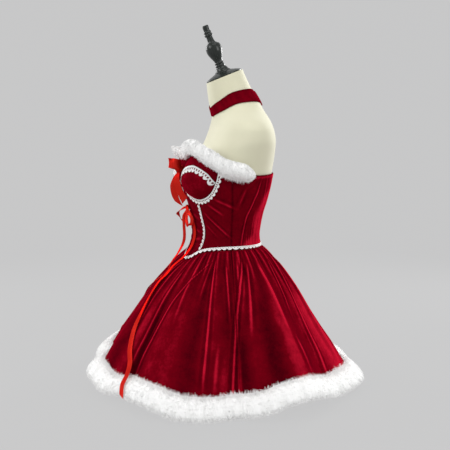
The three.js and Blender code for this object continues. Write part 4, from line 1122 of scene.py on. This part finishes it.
def ribbon_piece(name, node, courses, steps, flat, crimp=0.0, slant=0.0, curl=0.5, knot=None):
    meshes = [cloth_mesh(name, *ribbon_points(course, steps, crimp, slant, curl)) for course in courses]
    if knot:
        meshes.append(loft(f"{name}_knot", knot_rings(*knot)))
    mesh = joined(meshes, name) if len(meshes) > 1 else meshes[0]
    add_cloth(mesh, satin, "red_satin", node, flat, "hung")


wide_loops = [hanging([(side * x, *rest) for x, *rest in UPPER_LOOP]) for side in HANDS.values()]
ribbon_piece("wide_bow", "bow_upper", wide_loops, 90, (0.026, 0.16), crimp=0.9, curl=2.2,
             knot=((-8, -131, 546), (8, -107.2, 562)))
for hand, slant in TAIL_SLANTS.items():
    ribbon_piece(f"wide_bow_end_{hand}", f"bow_upper_tail_{hand}", [hanging(UPPER_TAILS[hand])], 90,
                 (0.022, 0.085), crimp=0.5, slant=slant, curl=0.9)
narrow_loops = [hanging(rows) for rows in LOWER_LOOPS.values()]
ribbon_piece("narrow_bow", "bow_lower", narrow_loops, 110, (0.01, 0.22), crimp=0.3,
             knot=((-6, -104, 448), (6, -93.5, 461)))
for hand in HANDS:
    air, cloth = LONG_TAILS[hand]
    course = [np.concatenate(pair) for pair in zip(hanging(air), lying(cloth))]
    ribbon_piece(f"long_end_{hand}", f"ribbon_tail_{hand}", [course], 200, (0.011, 0.53), crimp=0.3, slant=5,
                 curl=0.4)

# The choker: a straight band of the same velvet, folded over and stitched along its edges. It lies round
# the base of the neck, higher at the sides and back, and its outer end stands off over the fastening.
CHOKER_LINE = [(0, 706), (45, 719), (90, 731), (135, 728), (180, 719)]  # angle, height of its middle
CHOKER_HALF, CHOKER_WALL = 14.5, 2.2
choker_line = smooth(CHOKER_LINE)
band_angle = np.linspace(-179.7, 178.7, 200)[:, None]
band_level = np.linspace(-1, 1, 13)[None, :]
stand_off = 0.9 + 5 * ease(166, 179, band_angle)
band_height = choker_line(np.abs(band_angle)) + band_level * CHOKER_HALF
band_relief = (0.25 * np.sin(band_angle / 2.6 + 2 * np.sin(band_angle / 11)) * (1 - band_level ** 2)
               - 0.7 * np.abs(band_level) ** 10 - 0.35 * hump(np.abs(band_level) - 0.8, 0.06))
# Its tone is painted lighter on the raised ripples and darker at the rolled edges and stitching: painted
# highlight and shade.
velvet_piece("velvet_choker", "choker",
             offset_point(form_surface, band_angle, band_height, stand_off + CHOKER_WALL + band_relief),
             offset_point(form_surface, band_angle, band_height, stand_off),
             PANEL_NAP + 0.25 * band_relief, (0.029, 0.48))

# The studio: a plain pale floor that curves up all round, soft lights, and a camera low on the wearer's
# left, a little to the front, as in the photograph.
FLOOR_RADIUS, WALL_RADIUS, WALL_TOP = 2600, 3400, 4200
PALE, FLOOR_GREY = (0.553, 0.553, 0.556, 1), (0.03, 0.03, 0.03, 1)
VIEW_ANGLE, VIEW_DISTANCE, VIEW_HEIGHT, AIM_HEIGHT = 77, 1900, 600, 406
LENS, LIGHT_AIM = 58.5, 400
LIGHTS = [  # name, angle from the front, distance, height, size, power
    ("key", 20, 2000, 1500, 900, 17),
    ("fill", 130, 2100, 1300, 1000, 13),
    ("edge_front", -50, 1900, 1100, 700, 14),
    ("edge_back", -150, 1900, 1200, 700, 28),
    ("overhead", 80, 500, 2300, 1200, 9),
]

rise = np.linspace(0, 90, 24)
sweep = WALL_RADIUS - FLOOR_RADIUS
curve = np.stack([FLOOR_RADIUS + sweep * sine(rise), sweep * (1 - cosine(rise))], -1)
out, up = np.concatenate([[[1, 0]], curve, [[WALL_RADIUS, WALL_TOP]]]).T[:, None, :]
turn = np.arange(0, 360, 3.0)[:, None]
bowl = np.stack(np.broadcast_arrays(out * cosine(turn), out * sine(turn), up), -1)
floor = linked("studio_floor", make_mesh("studio_floor", bowl, grid_quads(*bowl.shape[:2], around=True)))
pale = new_finish("pale_studio", 0.95, specular_ior_level=0.0, emission_strength=1.0, base_color=FLOOR_GREY,
                  emission_color=PALE)[0]
floor.data.materials.append(pale)


def set_round(thing, angle, distance, height, aim):
    """A lamp or the camera, at an angle from the front, turned to a height on the part's axis."""
    thing.location = Vector((distance * sine(angle), -distance * cosine(angle), height)) / 1000
    towards = Vector((0, 0, aim / 1000)) - thing.location
    thing.rotation_euler = towards.to_track_quat("-Z", "Y").to_euler()


for name, angle, distance, height, size, power in LIGHTS:
    lamp = bpy.data.lights.new(name, "AREA")
    lamp.size = size / 1000
    lamp.energy = power
    set_round(linked(name, lamp), angle, distance, height, LIGHT_AIM)
world = bpy.data.worlds.new("studio_air")
world.use_nodes = True
world.node_tree.nodes["Background"].inputs["Color"].default_value = PALE
bpy.context.scene.world = world
bpy.context.scene.view_settings.view_transform = "Standard"
camera = linked("camera", bpy.data.cameras.new("camera"))
camera.data.lens = LENS
set_round(camera, VIEW_ANGLE, VIEW_DISTANCE, VIEW_HEIGHT, AIM_HEIGHT)
bpy.context.scene.camera = camera
